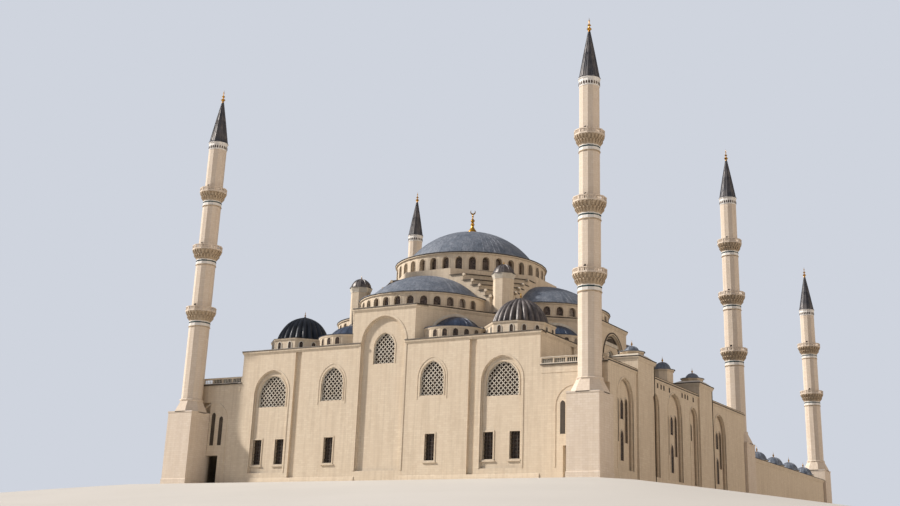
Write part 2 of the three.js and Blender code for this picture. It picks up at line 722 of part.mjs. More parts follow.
// Footprint of a minaret's plinth, grown by the clearance, to notch its neighbours
const plinthReach = PLINTH_HALF + GAP;
const plinthCutters = MINARETS.map(([, x, y]) => box(
  [x - plinthReach, x + plinthReach],
  [y - plinthReach, y + plinthReach],
  [-1, SHOE_TOP],
));
const shaftCutters = MINARETS.map(([, x, y]) => turned([
  [0, SHOE_TOP - 1],
  [SHAFT_R + 0.5, SHOE_TOP - 1],
  [SHAFT_R + 0.5, 40],
  [0, 40],
], MINARET_SIDES, MINARET_PHASE).translate([x, y, 0]));

// Gallery along the right side of the hall: outer wall, end walls, floor, flat roof and pavilions
const GALLERY_ARCHES = [
  { centre: -32.5, halfWidth: 4.65, apex: 23.0 },
  { centre: -14.3, halfWidth: 2.8, apex: 22.2 },
  { centre: -0.6, halfWidth: 4.9, apex: 23.9 },
  { centre: 13.1, halfWidth: 2.8, apex: 22.2 },
  { centre: 34.0, halfWidth: 4.65, apex: 23.0 },
];
const GALLERY_ARCH_RISE = 1.04;

// Cutters for a wall that faces +X: outlines run along Y
function throughX(outline, xRange) {
  const [near, far] = xRange;
  return turn(through(outline, [-far, -near]), QUARTER);
}

function sideGallery() {
  const inner = HALL_HALF + GAP;
  const outer = COMPLEX_HALF;
  const [front, rear] = [-HALL_HALF, PORTICO_END];
  const shell = box([inner, outer], [front, rear], [0, GALLERY_TOP]);
  const room = box(
    [inner - 1, outer - GALLERY_WALL],
    [front + GALLERY_WALL, rear - GALLERY_WALL],
    [FLOOR_TOP, GALLERY_TOP - GALLERY_ROOF],
  );
  const parapetBody = box([inner, outer], [front, rear], [GALLERY_TOP - 0.1, PARAPET_TOP]);
  const balustrade = box([inner, outer], [front, front + PARAPET_THICK], [GALLERY_TOP - 0.1, BALUSTRADE_TOP]);
  const parapetWell = box(
    [inner - 1, outer - PARAPET_THICK],
    [front + PARAPET_THICK, rear - PARAPET_THICK],
    [GALLERY_TOP, PARAPET_TOP + 1],
  );
  const solids = [cut(shell, [room]), cut(parapetBody, [parapetWell]), balustrade];
  for (const [low, high] of PAVILIONS) {
    const middle = (low + high) / 2;
    const inside = outer - PAVILION_DEEP;
    solids.push(box([outer - 0.5, outer + PAVILION_OUT], [low, high], [0, PAVILION_TOP]));
    solids.push(box([inside, outer + PAVILION_OUT], [low, high], [GALLERY_TOP - 0.3, PAVILION_TOP]));
    solids.push(box(
      [inside - CORNICE_OUT, outer + PAVILION_OUT + CORNICE_OUT],
      [low - CORNICE_OUT, high + CORNICE_OUT],
      [PAVILION_TOP - CORNICE_HIGH, PAVILION_TOP],
    ));
    solids.push(smallDome(PAVILION_DOME, PAVILION_TOP, outer - PAVILION_DEEP / 2, middle));
  }
  solids.push(smallDome(GALLERY_DOME, GALLERY_TOP, ...GALLERY_DOME_AT));
  const cutters = [];
  const window = GALLERY_WINDOW;
  for (const { centre, halfWidth, apex } of GALLERY_ARCHES) {
    const spring = apex - halfWidth * GALLERY_ARCH_RISE;
    const recess = pointedArch(centre, halfWidth, GALLERY_ARCH_SILL, spring, apex, 3);
    cutters.push(throughX(recess, [outer - GALLERY_RECESS, outer + 3]));
    const slit = pointedArch(centre, window.halfWidth, window.sill, window.spring, window.apex, 1);
    cutters.push(throughX(slit, [outer - 3, outer + 3]));
  }
  const doorway = box(GALLERY_DOOR_X, [front - 1, front + 3], [FLOOR_TOP, DOORWAY.top]);
  for (let i = 0; i < BALUSTRADE.bays; i += 1) {
    const start = BALUSTRADE.first + i * BALUSTRADE.bay;
    const high = [BALUSTRADE.bottom, BALUSTRADE.top];
    cutters.push(box([start, start + BALUSTRADE.gap], [front - 1, front + PARAPET_THICK + 0.2], high));
  }
  return cut(join(solids), [...cutters, doorway, ...plinthCutters, ...shaftCutters]);
}

// Small closed dome on a round drum that ends in a ledge
function smallDome({ drumRadius, drumTop, radius, crown }, base, x, y) {
  const profile = [
    [0, base - 0.2],
    [drumRadius, base - 0.2],
    [drumRadius, drumTop - DOME_LEDGE.high],
    [drumRadius + DOME_LEDGE.out, drumTop - DOME_LEDGE.high],
    [drumRadius + DOME_LEDGE.out, drumTop],
    ...capArc(radius, drumTop, crown, 2),
  ];
  return turned(profile, 8).translate([x, y, 0]);
}

const galleryRight = sideGallery();
add('side_gallery_right', galleryRight, LIMESTONE);
add('side_gallery_left', galleryRight.mirror([1, 0, 0]), LIMESTONE);

// Row of arches between a front and a back: roof slab, back wall, arcade and one dome a bay, along X
function arcade(length, bays, depth, top, archTop, backDoor, drumRadius) {
  const half = length / 2;
  const bay = length / bays;
  const block = box([-half, half], [0, depth], [0, top]);
  const room = box([-half - 1, half + 1], [COURT_WALL, depth - COURT_WALL], [FLOOR_TOP, top - COURT_ROOF]);
  const dome = {
    drumRadius,
    drumTop: top + drumRadius * ROW_DOME.drumHigh,
    radius: drumRadius * ROW_DOME.radius,
    crown: top + drumRadius * ROW_DOME.crown,
  };
  const cutters = [room];
  const domes = [];
  for (let i = 0; i < bays; i += 1) {
    const middle = -half + bay * (i + 0.5);
    const arch = pointedArch(middle, bay * 0.38, FLOOR_TOP, archTop - bay * 0.42, archTop, 2);
    cutters.push(through(arch, [-1, COURT_WALL + 0.5]));
    domes.push(smallDome(dome, top, middle, depth / 2));
  }
  if (backDoor) {
    const { halfWidth, spring, apex } = BACK_DOOR;
    const door = pointedArch(0, halfWidth, FLOOR_TOP, spring, apex, 3);
    cutters.push(through(door, [depth - COURT_WALL - 1, depth + 1]));
  }
  return join([cut(block, cutters), ...domes]);
}

// Prayer portico in front of the entrance wall; its arches look on to the courtyard
const porticoDepth = PORTICO_END - HALL_HALF - CORNICE_OUT - 2 * GAP;
const porticoLength = 2 * (HALL_HALF - GAP);
const portico = arcade(porticoLength, PORTICO_BAYS, porticoDepth, PORTICO_TOP, PORTICO_ARCH_TOP, true, PORTICO_DOME_R);
add('prayer_portico', turn(portico, 2 * QUARTER).translate([0, PORTICO_END, 0]), LIMESTONE);

// Courtyard ranges: the outer wall, the arcade towards the court and the domed roof that lies on both
const courtLength = COURT_END - PORTICO_END - GAP;
const courtRange = arcade(courtLength, SIDE_BAYS, ARCADE_DEEP, COURT_TOP, COURT_ARCH_TOP, false, COURT_DOME_R);
const courtMiddle = (COURT_END + PORTICO_END + GAP) / 2;
const placed = (range) => {
  const beside = turn(range, -QUARTER).translate([COMPLEX_HALF - ARCADE_DEEP, courtMiddle, 0]);
  return cut(beside, plinthCutters);
};
const courtRoofFoot = COURT_TOP - COURT_ROOF;
const standing = [FLOOR_TOP + GAP, courtRoofFoot - GAP];
const layer = (depths, heights) => placed(courtRange.intersect(box([-courtLength, courtLength], depths, heights)));
const courtLayers = {
  range: layer([ARCADE_DEEP - COURT_WALL, ARCADE_DEEP + 1], standing),
  arcade: layer([-1, COURT_WALL], standing),
  roof: layer([-1, ARCADE_DEEP + 1], [courtRoofFoot, COURT_TOP + 10]),
};
for (const [name, solid] of Object.entries(courtLayers)) {
  add(`courtyard_${name}_right`, solid, LIMESTONE);
  add(`courtyard_${name}_left`, solid.mirror([1, 0, 0]), LIMESTONE);
}

// Raised floor under the open court and both side ranges; the gate range brings its own
const courtInner = COMPLEX_HALF - ARCADE_DEEP;
const courtFront = PORTICO_END + GAP;
const gateFront = COURT_END - ARCADE_DEEP - GAP;
const courtFloor = prism([
  [-COMPLEX_HALF, courtFront],
  [COMPLEX_HALF, courtFront],
  [COMPLEX_HALF, COURT_END],
  [courtInner, COURT_END],
  [courtInner, gateFront],
  [-courtInner, gateFront],
  [-courtInner, COURT_END],
  [-COMPLEX_HALF, COURT_END],
], 0, FLOOR_TOP);
add('courtyard_floor', cut(courtFloor, plinthCutters), PAVING);
const gateLength = 2 * (COMPLEX_HALF - ARCADE_DEEP - GAP);
const gateRange = arcade(gateLength, GATE_BAYS, ARCADE_DEEP, COURT_TOP, COURT_ARCH_TOP, true, COURT_DOME_R);
add('courtyard_gate_range', gateRange.translate([0, COURT_END - ARCADE_DEEP, 0]), LIMESTONE);

// Stone tower of a minaret: plinth, flared shoe, shaft and balconies
function minaretTower(balconies, coneBase) {
  const profile = [[0, SHOE_TOP - 1], [SHAFT_R, SHOE_TOP - 1]];
  let shaft = SHAFT_R;
  for (const { band, slab, parapet, radius, above } of balconies) {
    profile.push(
      [shaft, band],
      [radius, slab],
      [radius, parapet],
      [radius - 0.3, parapet],
      [radius - 0.3, slab + 0.35],
      [above, slab + 0.35],
    );
    shaft = above;
  }
  profile.push([shaft, coneBase - GAP], [0, coneBase - GAP]);
  const shoe = turned([
    [0, PLINTH_TOP - 1],
    [PLINTH_HALF / Math.cos(Math.PI / 8), PLINTH_TOP - 1],
    [PLINTH_HALF / Math.cos(Math.PI / 8), PLINTH_TOP],
    [SHAFT_R + 0.3, SHOE_TOP],
    [0, SHOE_TOP],
  ], 8, degrees(22.5));
  const plinth = box([-PLINTH_HALF, PLINTH_HALF], [-PLINTH_HALF, PLINTH_HALF], [0, PLINTH_TOP]);
  return join([plinth, shoe, turned(profile, MINARET_SIDES, MINARET_PHASE)]);
}

// Lead cone with a gilt finial
function minaretSpire({ base, top, tip }) {
  return turned([
    [0, base],
    [CONE_R, base],
    [0.22, top],
    [FINIAL_BALL_R, top + 0.7],
    [0.12, top + 1.4],
    [0, tip],
  ], MINARET_SIDES, MINARET_PHASE);
}

const tallTower = minaretTower([LOW_BALCONY, MID_BALCONY, HIGH_BALCONY], TALL_CONE.base);
const shortTower = minaretTower([LOW_BALCONY, MID_BALCONY], SHORT_CONE.base);
const tallSpire = minaretSpire(TALL_CONE);
const shortSpire = minaretSpire(SHORT_CONE);
for (const [name, x, y, balconies] of MINARETS) {
  const tall = balconies === 3;
  const group = new THREE.Group();
  group.position.set(x, y, 0);
  part.add(group);
  add(`minaret_tower_${name}`, tall ? tallTower : shortTower, LIMESTONE, group);
  add(`minaret_spire_${name}`, tall ? tallSpire : shortSpire, DARK_LEAD, group);
}

export default part;
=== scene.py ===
"""Visual model of a domed mosque with six minarets, a scale model at 1:10.

Sizes are metres of the real building, and MODEL turns them into metres of the scale model.
The origin is on the ground under the main dome, -Y is the front and +Z is up.
"""
import logging
import math
from collections.abc import Iterable, Mapping, Sequence
from dataclasses import dataclass, field, replace
from enum import Enum
from typing import Any

import bmesh
import bpy
from mathutils import Matrix, Vector


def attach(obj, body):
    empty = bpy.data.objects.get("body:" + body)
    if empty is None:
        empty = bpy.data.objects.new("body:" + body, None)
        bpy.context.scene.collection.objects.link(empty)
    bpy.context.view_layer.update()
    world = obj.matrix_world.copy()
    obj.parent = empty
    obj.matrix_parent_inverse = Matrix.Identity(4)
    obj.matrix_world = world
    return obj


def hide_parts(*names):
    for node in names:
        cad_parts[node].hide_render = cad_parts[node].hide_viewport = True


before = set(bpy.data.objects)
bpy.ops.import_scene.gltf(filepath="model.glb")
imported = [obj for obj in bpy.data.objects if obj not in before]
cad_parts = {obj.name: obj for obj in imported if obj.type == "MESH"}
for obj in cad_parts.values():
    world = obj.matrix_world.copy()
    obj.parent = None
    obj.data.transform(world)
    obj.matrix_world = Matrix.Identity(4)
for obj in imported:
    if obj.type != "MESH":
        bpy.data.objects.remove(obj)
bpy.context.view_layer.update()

LOG = logging.getLogger("mosque")

Flat = tuple[float, float]
Point = tuple[float, float, float]
Colour = tuple[float, float, float, float]
Tree = bpy.types.NodeTree
Socket = bpy.types.NodeSocket

# Metres of the scale model to a metre of the real building
MODEL = 0.1
FULL = 2 * math.pi
# A profile's point nearer to the axis than this is on it
ON_AXIS = 1e-9


def linear(code: str) -> Colour:
    """Turns an sRGB hex colour into linear values.

    Args:
        code: colour such as "#c9b79a".

    Returns:
        Linear red, green and blue, and an alpha of one.
    """
    parts = (int(code[i:i + 2], 16) / 255 for i in (1, 3, 5))
    red, green, blue = (c / 12.92 if c <= 0.04045 else ((c + 0.055) / 1.055) ** 2.4 for c in parts)
    return (red, green, blue, 1.0)


def add_node(
    tree: Tree,
    kind: str,
    inputs: Mapping[int | str, Any] | None = None,
    **settings: Any,
) -> bpy.types.Node:
    """Adds a node with its settings and links.

    Args:
        tree: node tree that gets the node.
        kind: Blender's name of the node type.
        inputs: a value, or the output that is linked, for each input by name or number.
        **settings: properties of the node.

    Returns:
        The new node.
    """
    node = tree.nodes.new(kind)
    for name, value in settings.items():
        setattr(node, name, value)
    for key, value in (inputs or {}).items():
        if isinstance(value, Socket):
            tree.links.new(value, node.inputs[key])
        else:
            node.inputs[key].default_value = value
    return node


@dataclass(frozen=True)
class Finish:
    """A surface finish that is made once and shared by its pieces."""

    name: str
    slot: str | None = None

    def material(self) -> bpy.types.Material:
        """Makes the material on first use.

        Returns:
            The material of the finish.
        """
        made = bpy.data.materials.get(self.name)
        if made is None:
            made = bpy.data.materials.new(self.name)
            made.use_nodes = True
            made.node_tree.nodes.clear()
            shader = self.shade(made.node_tree)
            add_node(made.node_tree, "ShaderNodeOutputMaterial", {"Surface": shader.outputs[0]})
        return made

    def shade(self, tree: Tree) -> bpy.types.Node:
        """Adds the finish's nodes.

        Args:
            tree: the material's node tree.

        Returns:
            The shader node.
        """
        raise NotImplementedError

    @staticmethod
    def place(tree: Tree) -> Socket:
        """Returns the object coordinates, which are metres of the scale model."""
        return add_node(tree, "ShaderNodeTexCoord").outputs["Object"]

    @staticmethod
    def cloud(tree: Tree, place: Socket, stretch: Point, span: Flat, detail: float = 4.0) -> Socket:
        """Adds soft patches.

        Args:
            tree: the material's node tree.
            place: coordinates of the surface.
            stretch: patches to a metre of the model along each axis.
            span: what the patches' lowest and highest parts become.
            detail: how much fine detail the patches have.

        Returns:
            The patches' value.
        """
        scaled = add_node(tree, "ShaderNodeMapping", {"Vector": place, "Scale": stretch})
        patches = Finish.noise(tree, scaled.outputs[0], 1.0, detail)
        limits = {0: patches, 1: 0.35, 2: 0.65, 3: span[0], 4: span[1]}
        return add_node(tree, "ShaderNodeMapRange", limits).outputs[0]

    @staticmethod
    def blend(tree: Tree, share: Socket, under: Socket | Colour, over: Socket | Colour) -> Socket:
        """Mixes two colours.

        Args:
            tree: the material's node tree.
            share: how much of the second colour shows.
            under: the first colour.
            over: the second colour.

        Returns:
            The mixed colour.
        """
        mixed = add_node(tree, "ShaderNodeMix", {0: share, 6: under, 7: over}, data_type="RGBA")
        return mixed.outputs[2]

    @staticmethod
    def noise(tree: Tree, place: Socket, scale: float, detail: float) -> Socket:
        """Returns the value of even noise."""
        inputs = {"Vector": place, "Scale": scale, "Detail": detail}
        return add_node(tree, "ShaderNodeTexNoise", inputs).outputs[0]

    @staticmethod
    def bump(tree: Tree, height: Socket, strength: float, depth: float) -> Socket:
        """Returns the direction of a surface that a height makes uneven."""
        inputs = {"Strength": strength, "Distance": depth, "Height": height}
        return add_node(tree, "ShaderNodeBump", inputs).outputs[0]


@dataclass(frozen=True)
class Ashlar(Finish):
    """Sawn limestone blocks with weather stains; what faces up is covered with lead sheet.

    The block courses give the walls their scale, and the stains keep large faces from looking new.
    """

    pale: str = "#dfd1bb"
    warm: str = "#d6c6af"
    joint: str = "#ccbca4"
    soot: str = "#a8967f"
    cover: str = "#878d94"
    cover_worn: str = "#969ca2"
    # Courses of 0.5 m and blocks of 1.2 m on the real building
    course: float = 0.05
    block: float = 0.12
    # A real joint is 10 mm; it is drawn at 30 mm so that it shows
    mortar: float = 0.003

    def shade(self, tree: Tree) -> bpy.types.Node:
        """Adds the finish's nodes.

        Args:
            tree: the material's node tree.

        Returns:
            The shader node.
        """
        place = self.place(tree)
        parts = add_node(tree, "ShaderNodeSeparateXYZ", {0: place}).outputs
        along = add_node(tree, "ShaderNodeMath", {0: parts["X"], 1: parts["Y"]}, operation="ADD")
        on_wall = add_node(tree, "ShaderNodeCombineXYZ", {"X": along.outputs[0], "Y": parts["Z"]})
        courses = add_node(
            tree,
            "ShaderNodeTexBrick",
            {
                "Vector": on_wall.outputs[0],
                "Color1": linear(self.pale),
                "Color2": linear(self.warm),
                "Mortar": linear(self.joint),
                "Scale": 1.0,
                "Mortar Size": self.mortar,
                "Mortar Smooth": 0.5,
                "Brick Width": self.block,
                "Row Height": self.course,
            },
        )
        patches = self.cloud(tree, place, (1.6, 1.6, 1.6), (0.0, 0.5))
        toned = self.blend(tree, patches, courses.outputs["Color"], linear(self.warm))
        streaks = self.cloud(tree, place, (14.0, 14.0, 0.9), (-0.1, 0.22))
        stained = self.blend(tree, streaks, toned, linear(self.soot))
        facing = add_node(tree, "ShaderNodeNewGeometry").outputs["True Normal"]
        upward = add_node(tree, "ShaderNodeSeparateXYZ", {0: facing}).outputs["Z"]
        roof = add_node(tree, "ShaderNodeMapRange", {0: upward, 1: 0.55, 2: 0.75, 3: 0.0, 4: 1.0})
        worn = self.cloud(tree, place, (6.0, 6.0, 6.0), (0.0, 1.0))
        sheet = self.blend(tree, worn, linear(self.cover), linear(self.cover_worn))
        colour = self.blend(tree, roof.outputs[0], stained, sheet)
        grain = self.bump(tree, self.noise(tree, place, 90.0, 5.0), 0.35, 0.002)
        jointed = add_node(
            tree,
            "ShaderNodeBump",
            {"Strength": 0.3, "Distance": 0.002, "Height": courses.outputs["Fac"], "Normal": grain},
            invert=True,
        )
        return add_node(
            tree,
            "ShaderNodeBsdfPrincipled",
            {"Base Color": colour, "Roughness": 0.82, "Normal": jointed.outputs[0]},
        )


@dataclass(frozen=True)
class Clouded(Finish):
    """Two tones in soft patches, as on rubbed marble, worn gold leaf and the plain floor."""

    light: str = "#dbd5c8"
    dark: str = "#c3b9a8"
    # Patches to a metre of the model
    stretch: Point = (7.0, 7.0, 3.0)
    most: float = 0.8
    roughness: float = 0.55
    metallic: float = 0.0
    grain: float = 0.2

    def shade(self, tree: Tree) -> bpy.types.Node:
        """Adds the finish's nodes.

        Args:
            tree: the material's node tree.

        Returns:
            The shader node.
        """
        place = self.place(tree)
        clouds = self.cloud(tree, place, self.stretch, (0.0, self.most))
        colour = self.blend(tree, clouds, linear(self.light), linear(self.dark))
        inputs = {"Base Color": colour, "Metallic": self.metallic, "Roughness": self.roughness}
        if self.grain:
            inputs["Normal"] = self.bump(tree, self.noise(tree, place, 120.0, 3.0), self.grain, 0.001)
        return add_node(tree, "ShaderNodeBsdfPrincipled", inputs)


@dataclass(frozen=True)
class LeadSheet(Finish):
    """Rolled lead sheet, weathered: a dull grey skin with paler bloom and dark run-off streaks."""

    skin: str = "#667180"
    bloom: str = "#878f9c"
    stain: str = "#454e5b"
    metallic: float = 0.15
    roughness: float = 0.5

    def shade(self, tree: Tree) -> bpy.types.Node:
        """Adds the finish's nodes.

        Args:
            tree: the material's node tree.

        Returns:
            The shader node.
        """
        place = self.place(tree)
        patches = self.cloud(tree, place, (5.0, 5.0, 5.0), (0.0, 0.9))
        bloomed = self.blend(tree, patches, linear(self.skin), linear(self.bloom))
        runs = self.cloud(tree, place, (22.0, 22.0, 1.6), (-0.2, 0.5), 3.0)
        colour = self.blend(tree, runs, bloomed, linear(self.stain))
        dents = self.noise(tree, place, 14.0, 4.0)
        limits = {0: dents, 1: 0.3, 2: 0.7, 3: self.roughness - 0.1, 4: self.roughness + 0.14}
        worn = add_node(tree, "ShaderNodeMapRange", limits)
        return add_node(
            tree,
            "ShaderNodeBsdfPrincipled",
            {
                "Base Color": colour,
                "Metallic": self.metallic,
                "Roughness": worn.outputs[0],
                "Normal": self.bump(tree, dents, 0.3, 0.004),
            },
        )


@dataclass(frozen=True)
class Paned(Finish):
    """Small glossy panes or glazed tiles, no two alike."""

    dark: str = "#241f1d"
    brown: str = "#5a493b"
    # Panes to a metre of the model, which makes each about 0.3 m on the real building
    panes: float = 33.0
    roughness: float = 0.25
    uneven: float = 0.4

    def shade(self, tree: Tree) -> bpy.types.Node:
        """Adds the finish's nodes.

        Args:
            tree: the material's node tree.

        Returns:
            The shader node.
        """
        place = self.place(tree)
        cells = add_node(tree, "ShaderNodeTexVoronoi", {"Vector": place, "Scale": self.panes})
        tone = add_node(tree, "ShaderNodeSeparateColor", {0: cells.outputs["Color"]})
        colour = self.blend(tree, tone.outputs[0], linear(self.dark), linear(self.brown))
        inputs = {"Base Color": colour, "Roughness": self.roughness}
        if self.uneven:
            inputs["Normal"] = self.bump(tree, cells.outputs["Distance"], self.uneven, 0.003)
        return add_node(tree, "ShaderNodeBsdfPrincipled", inputs)


class Surface(Enum):
    """The finishes of the building."""

    ASHLAR = Ashlar("sawn_limestone_ashlar", "limestone")
    MINARET_STONE = Ashlar("minaret_limestone", "limestone", "#e1d4c5", "#d9cab8", soot="#bcab9a")
    # Darker stone of the corbels and thin rings under the balconies: the darker tone is painted shade from
    # the balconies above.
    CARVED_IN_PAINTED_SHADE = Ashlar("carved_limestone_in_painted_shade", "limestone", "#c2b199", "#ad997f", soot="#84715d", block=0.06)
    MARBLE = Clouded("rubbed_marble")
    WHITE_MARBLE = Clouded("white_marble", None, "#ebe8e3", "#dad6cf")
    LEAD = LeadSheet("weathered_lead_sheet", "lead")
    BLUE_LEAD = LeadSheet("blue_grey_lead_sheet", "lead", "#2c3a52", "#46566f", "#1f2a3a", roughness=0.36)
    # Also the dark blue-grey of the left-hand corner domes, which is painted shade, as the four corner domes
    # are alike; the window bars have it as their own colour.
    DARK_LEAD = LeadSheet("dark_lead_sheet", "dark_lead", "#252d38", "#38424f", "#1a1f28", roughness=0.52)
    SPIRE_LEAD = LeadSheet("spire_lead_sheet", "dark_lead", "#45474f", "#6c6868", "#2c2e36")
    # The paler brown-grey of the right-hand corner domes, which is painted light, as the four corner domes
    # are alike; the turret caps have it too.
    RIBBED_LEAD = LeadSheet(
        "ribbed_lead_sheet", "dark_lead", "#484548", "#7f7977", "#2d2b2e", roughness=0.46
    )
    # Dark brown lead edges on cornices, steps, drums and arches: real lead edging, darkened so that it is
    # also the painted shadow line under them; it also fills the side walls' arch heads and the gap behind the
    # front balustrades with painted shade.
    LEAD_EDGE_AND_PAINTED_SHADE = LeadSheet("lead_edge_and_painted_shade", "dark_lead", "#3f382f", "#54493d", "#2a2520", 0.1, 0.55)
    GILT = Clouded(
        "gilded_copper", "gilt", "#d9a441", "#9a6f2c", (25.0, 25.0, 25.0), 0.6, 0.32, metallic=1.0, grain=0.0
    )
    GLASS = Paned("leaded_window_glass")
    BROWN_GLASS = Paned("brown_window_glass", None, "#463b34", "#7d6c5f")
    TILE = Paned("glazed_tile", None, "#27474a", "#1b3034", 30.0, 0.22, 0.0)
    PAVING = Ashlar(
        "worn_paving_slabs",
        "paving",
        pale="#b9ad98",
        warm="#aa9c84",
        cover="#b5aa97",
        cover_worn="#a79b87",
        course=0.08,
        block=0.08,
    )
    GROUND = Clouded("studio_floor", None, "#c9c7c2", "#bab8b2", (0.4, 0.4, 0.4), 0.25, 0.9, grain=0.0)


@dataclass
class Shape:
    """Closed bodies gathered for one mesh, in metres of the real building."""

    corners: list[Point] = field(default_factory=list)
    faces: list[tuple[int, ...]] = field(default_factory=list)

    def join(self, *others: "Shape") -> "Shape":
        """Adds other shapes to this one.

        Args:
            *others: shapes to add.

        Returns:
            This shape.
        """
        for other in others:
            first = len(self.corners)
            self.corners.extend(other.corners)
            self.faces.extend(tuple(first + i for i in face) for face in other.faces)
        return self

    def moved(self, matrix: Matrix) -> "Shape":
        """Returns a copy turned or moved by a matrix."""
        return Shape([tuple(matrix @ Vector(corner)) for corner in self.corners], list(self.faces))

    def mesh(self) -> bpy.types.Mesh:
        """Makes a mesh of the shape.

        Returns:
            The mesh, in metres of the real building.
        """
        mesh = bpy.data.meshes.new("shape")
        mesh.from_pydata(self.corners, [], self.faces)
        mesh.update()
        return mesh


def gathered(shapes: Iterable[Shape]) -> Shape:
    """Returns one shape made of several."""
    return Shape().join(*shapes)


def turn(angle: float) -> Matrix:
    """Returns a turn about the vertical axis, in degrees."""
    return Matrix.Rotation(math.radians(angle), 4, "Z")


def shift(x: float, y: float, z: float = 0.0) -> Matrix:
    """Returns a move."""
    return Matrix.Translation((x, y, z))


def set_off(points: Sequence[Flat], out: float, up: float = 0.0) -> list[Flat]:
    """Returns the points of a profile moved outwards and up."""
    return [(out + x, up + z) for x, z in points]


def circle(radius: float, steps: int) -> list[Flat]:
    """Returns points round a circle."""
    angles = [FULL * i / steps for i in range(steps)]
    return [(radius * math.cos(a), radius * math.sin(a)) for a in angles]


def swept(sections: Sequence[Sequence[Point]], closed: bool = False) -> Shape:
    """Joins like sections that follow each other.

    Args:
        sections: corners of each section, as many in each.
        closed: joins the last section to the first.

    Returns:
        The closed body.
    """
    n, m = len(sections), len(sections[0])
    faces: list[tuple[int, ...]] = []
    for i in range(n if closed else n - 1):
        a, b = m * i, m * ((i + 1) % n)
        faces += [(a + j, a + (j + 1) % m, b + (j + 1) % m, b + j) for j in range(m)]
    if not closed:
        faces += [tuple(reversed(range(m))), tuple(range(m * (n - 1), m * n))]
    return Shape([corner for section in sections for corner in section], faces)


def prism(outline: Sequence[Flat], low: float, high: float) -> Shape:
    """Raises an outline in plan from one height to another."""
    return swept([[(x, y, z) for x, y in outline] for z in (low, high)])


def block(low: Point, high: Point) -> Shape:
    """Returns a squared block between two corners."""
    (x0, y0, z0), (x1, y1, z1) = low, high
    return prism([(x0, y0), (x1, y0), (x1, y1), (x0, y1)], z0, z1)


def panel(outline: Sequence[Flat], near: float, far: float) -> Shape:
    """Pushes an upright outline through the depth of a wall that faces -Y.

    Args:
        outline: corners as distance along the wall and height.
        near: Y of the outer face.
        far: Y of the inner face.

    Returns:
        The closed body.
    """
    flat = prism(outline, near, far)
    return Shape([(x, depth, z) for x, z, depth in flat.corners], flat.faces)


def ribbon(outer: Sequence[Flat], inner: Sequence[Flat], near: float, far: float) -> Shape:
    """Fills the strip between two upright lines, such as the edges of an arch band.

    Args:
        outer: points of the outer line.
        inner: points of the inner line, as many.
        near: Y of the outer face.
        far: Y of the inner face.

    Returns:
        The closed body.
    """
    return swept([
        [(xo, near, zo), (xo, far, zo), (xi, far, zi), (xi, near, zi)]
        for (xo, zo), (xi, zi) in zip(outer, inner)
    ])


def turned(
    profile: Sequence[Flat],
    sides: int,
    phase: float = 0.0,
    half: bool = False,
) -> Shape:
    """Turns a profile about the vertical axis.

    Args:
        profile: radius and height pairs, from axis to axis, or a closed loop clear of the foot's axis.
        sides: number of sides of the full turn, or of the half.
        phase: angle of the first corner in degrees.
        half: makes only the half that faces -Y.

    Returns:
        The closed body.
    """
    reach = math.pi if half else FULL
    start = math.pi if half else math.radians(phase)
    count = sides + 1 if half else sides
    angles = [start + reach * i / sides for i in range(count)]
    corners: list[Point] = []
    rings: list[list[int]] = []
    for radius, height in profile:
        first = len(corners)
        if radius < ON_AXIS:
            rings.append([first] * count)
            corners.append((0.0, 0.0, height))
        else:
            rings.append(list(range(first, first + count)))
            corners += [(radius * math.cos(a), radius * math.sin(a), height) for a in angles]
    pairs = list(zip(rings, rings[1:]))
    if profile[0][0] >= ON_AXIS:
        pairs.append((rings[-1], rings[0]))
    faces: list[tuple[int, ...]] = []
    for low, high in pairs:
        for i in range(sides):
            j = (i + 1) % count
            face = tuple(dict.fromkeys((low[i], low[j], high[j], high[i])))
            if len(face) > 2:
                faces.append(face)
    if half:
        faces += [tuple(ring[0] for ring in rings), tuple(ring[-1] for ring in reversed(rings))]
    return Shape(corners, faces)


def eight_sided(profile: Sequence[Flat]) -> Shape:
    """Turns a profile into eight sides, one of which faces -Y."""
    return turned(profile, 8, 22.5)


def cap_arc(foot: float, low: float, crown: float, steps: int) -> list[Flat]:
    """Traces a spherical cap's profile.

    Args:
        foot: radius of the cap's foot.
        low: height of its foot.
        crown: height of its crown.
        steps: pieces of the line.

    Returns:
        Radius and height pairs, from the foot to the crown on the axis.
    """
    rise = crown - low
    sphere = (foot * foot + rise * rise) / (2 * rise)
    opening = math.asin(min(1.0, foot / sphere))
    span = math.pi - opening if rise > sphere else opening
    arc = []
    for i in range(steps + 1):
        angle = span * (1 - i / steps)
        radius = 0.0 if i == steps else sphere * math.sin(angle)
        arc.append((radius, crown - sphere * (1 - math.cos(angle))))
    return arc


def moulding(path: Sequence[Flat], section: Sequence[Flat], closed: bool = False) -> Shape:
    """Runs a section along a path in plan, with mitred corners.

    Args:
        path: points in plan, with the outside on the right hand.
        section: corners as distance outwards and height.
        closed: joins the last point to the first.

    Returns:
        The closed body.
    """
    n = len(path)
    runs = []
    for i in range(n if closed else n - 1):
        (x0, y0), (x1, y1) = path[i], path[(i + 1) % n]
        length = math.hypot(x1 - x0, y1 - y0)
        runs.append(((y1 - y0) / length, (x0 - x1) / length))
    sections: list[list[Point]] = []
    for i, (x, y) in enumerate(path):
        ahead = runs[i] if i < len(runs) else runs[-1]
        behind = runs[i - 1] if i or closed else runs[0]
        grow = 1 + ahead[0] * behind[0] + ahead[1] * behind[1]
        mx, my = (ahead[0] + behind[0]) / grow, (ahead[1] + behind[1]) / grow
        sections.append([(x + out * mx, y + out * my, height) for out, height in section])
    return swept(sections, closed)


def bracket(profile: Sequence[Flat], width: float) -> Shape:
    """Returns a flat upright rib that stands out towards -Y, from radius and height pairs."""
    return swept([[(x, -radius, height) for radius, height in profile] for x in (-width / 2, width / 2)])


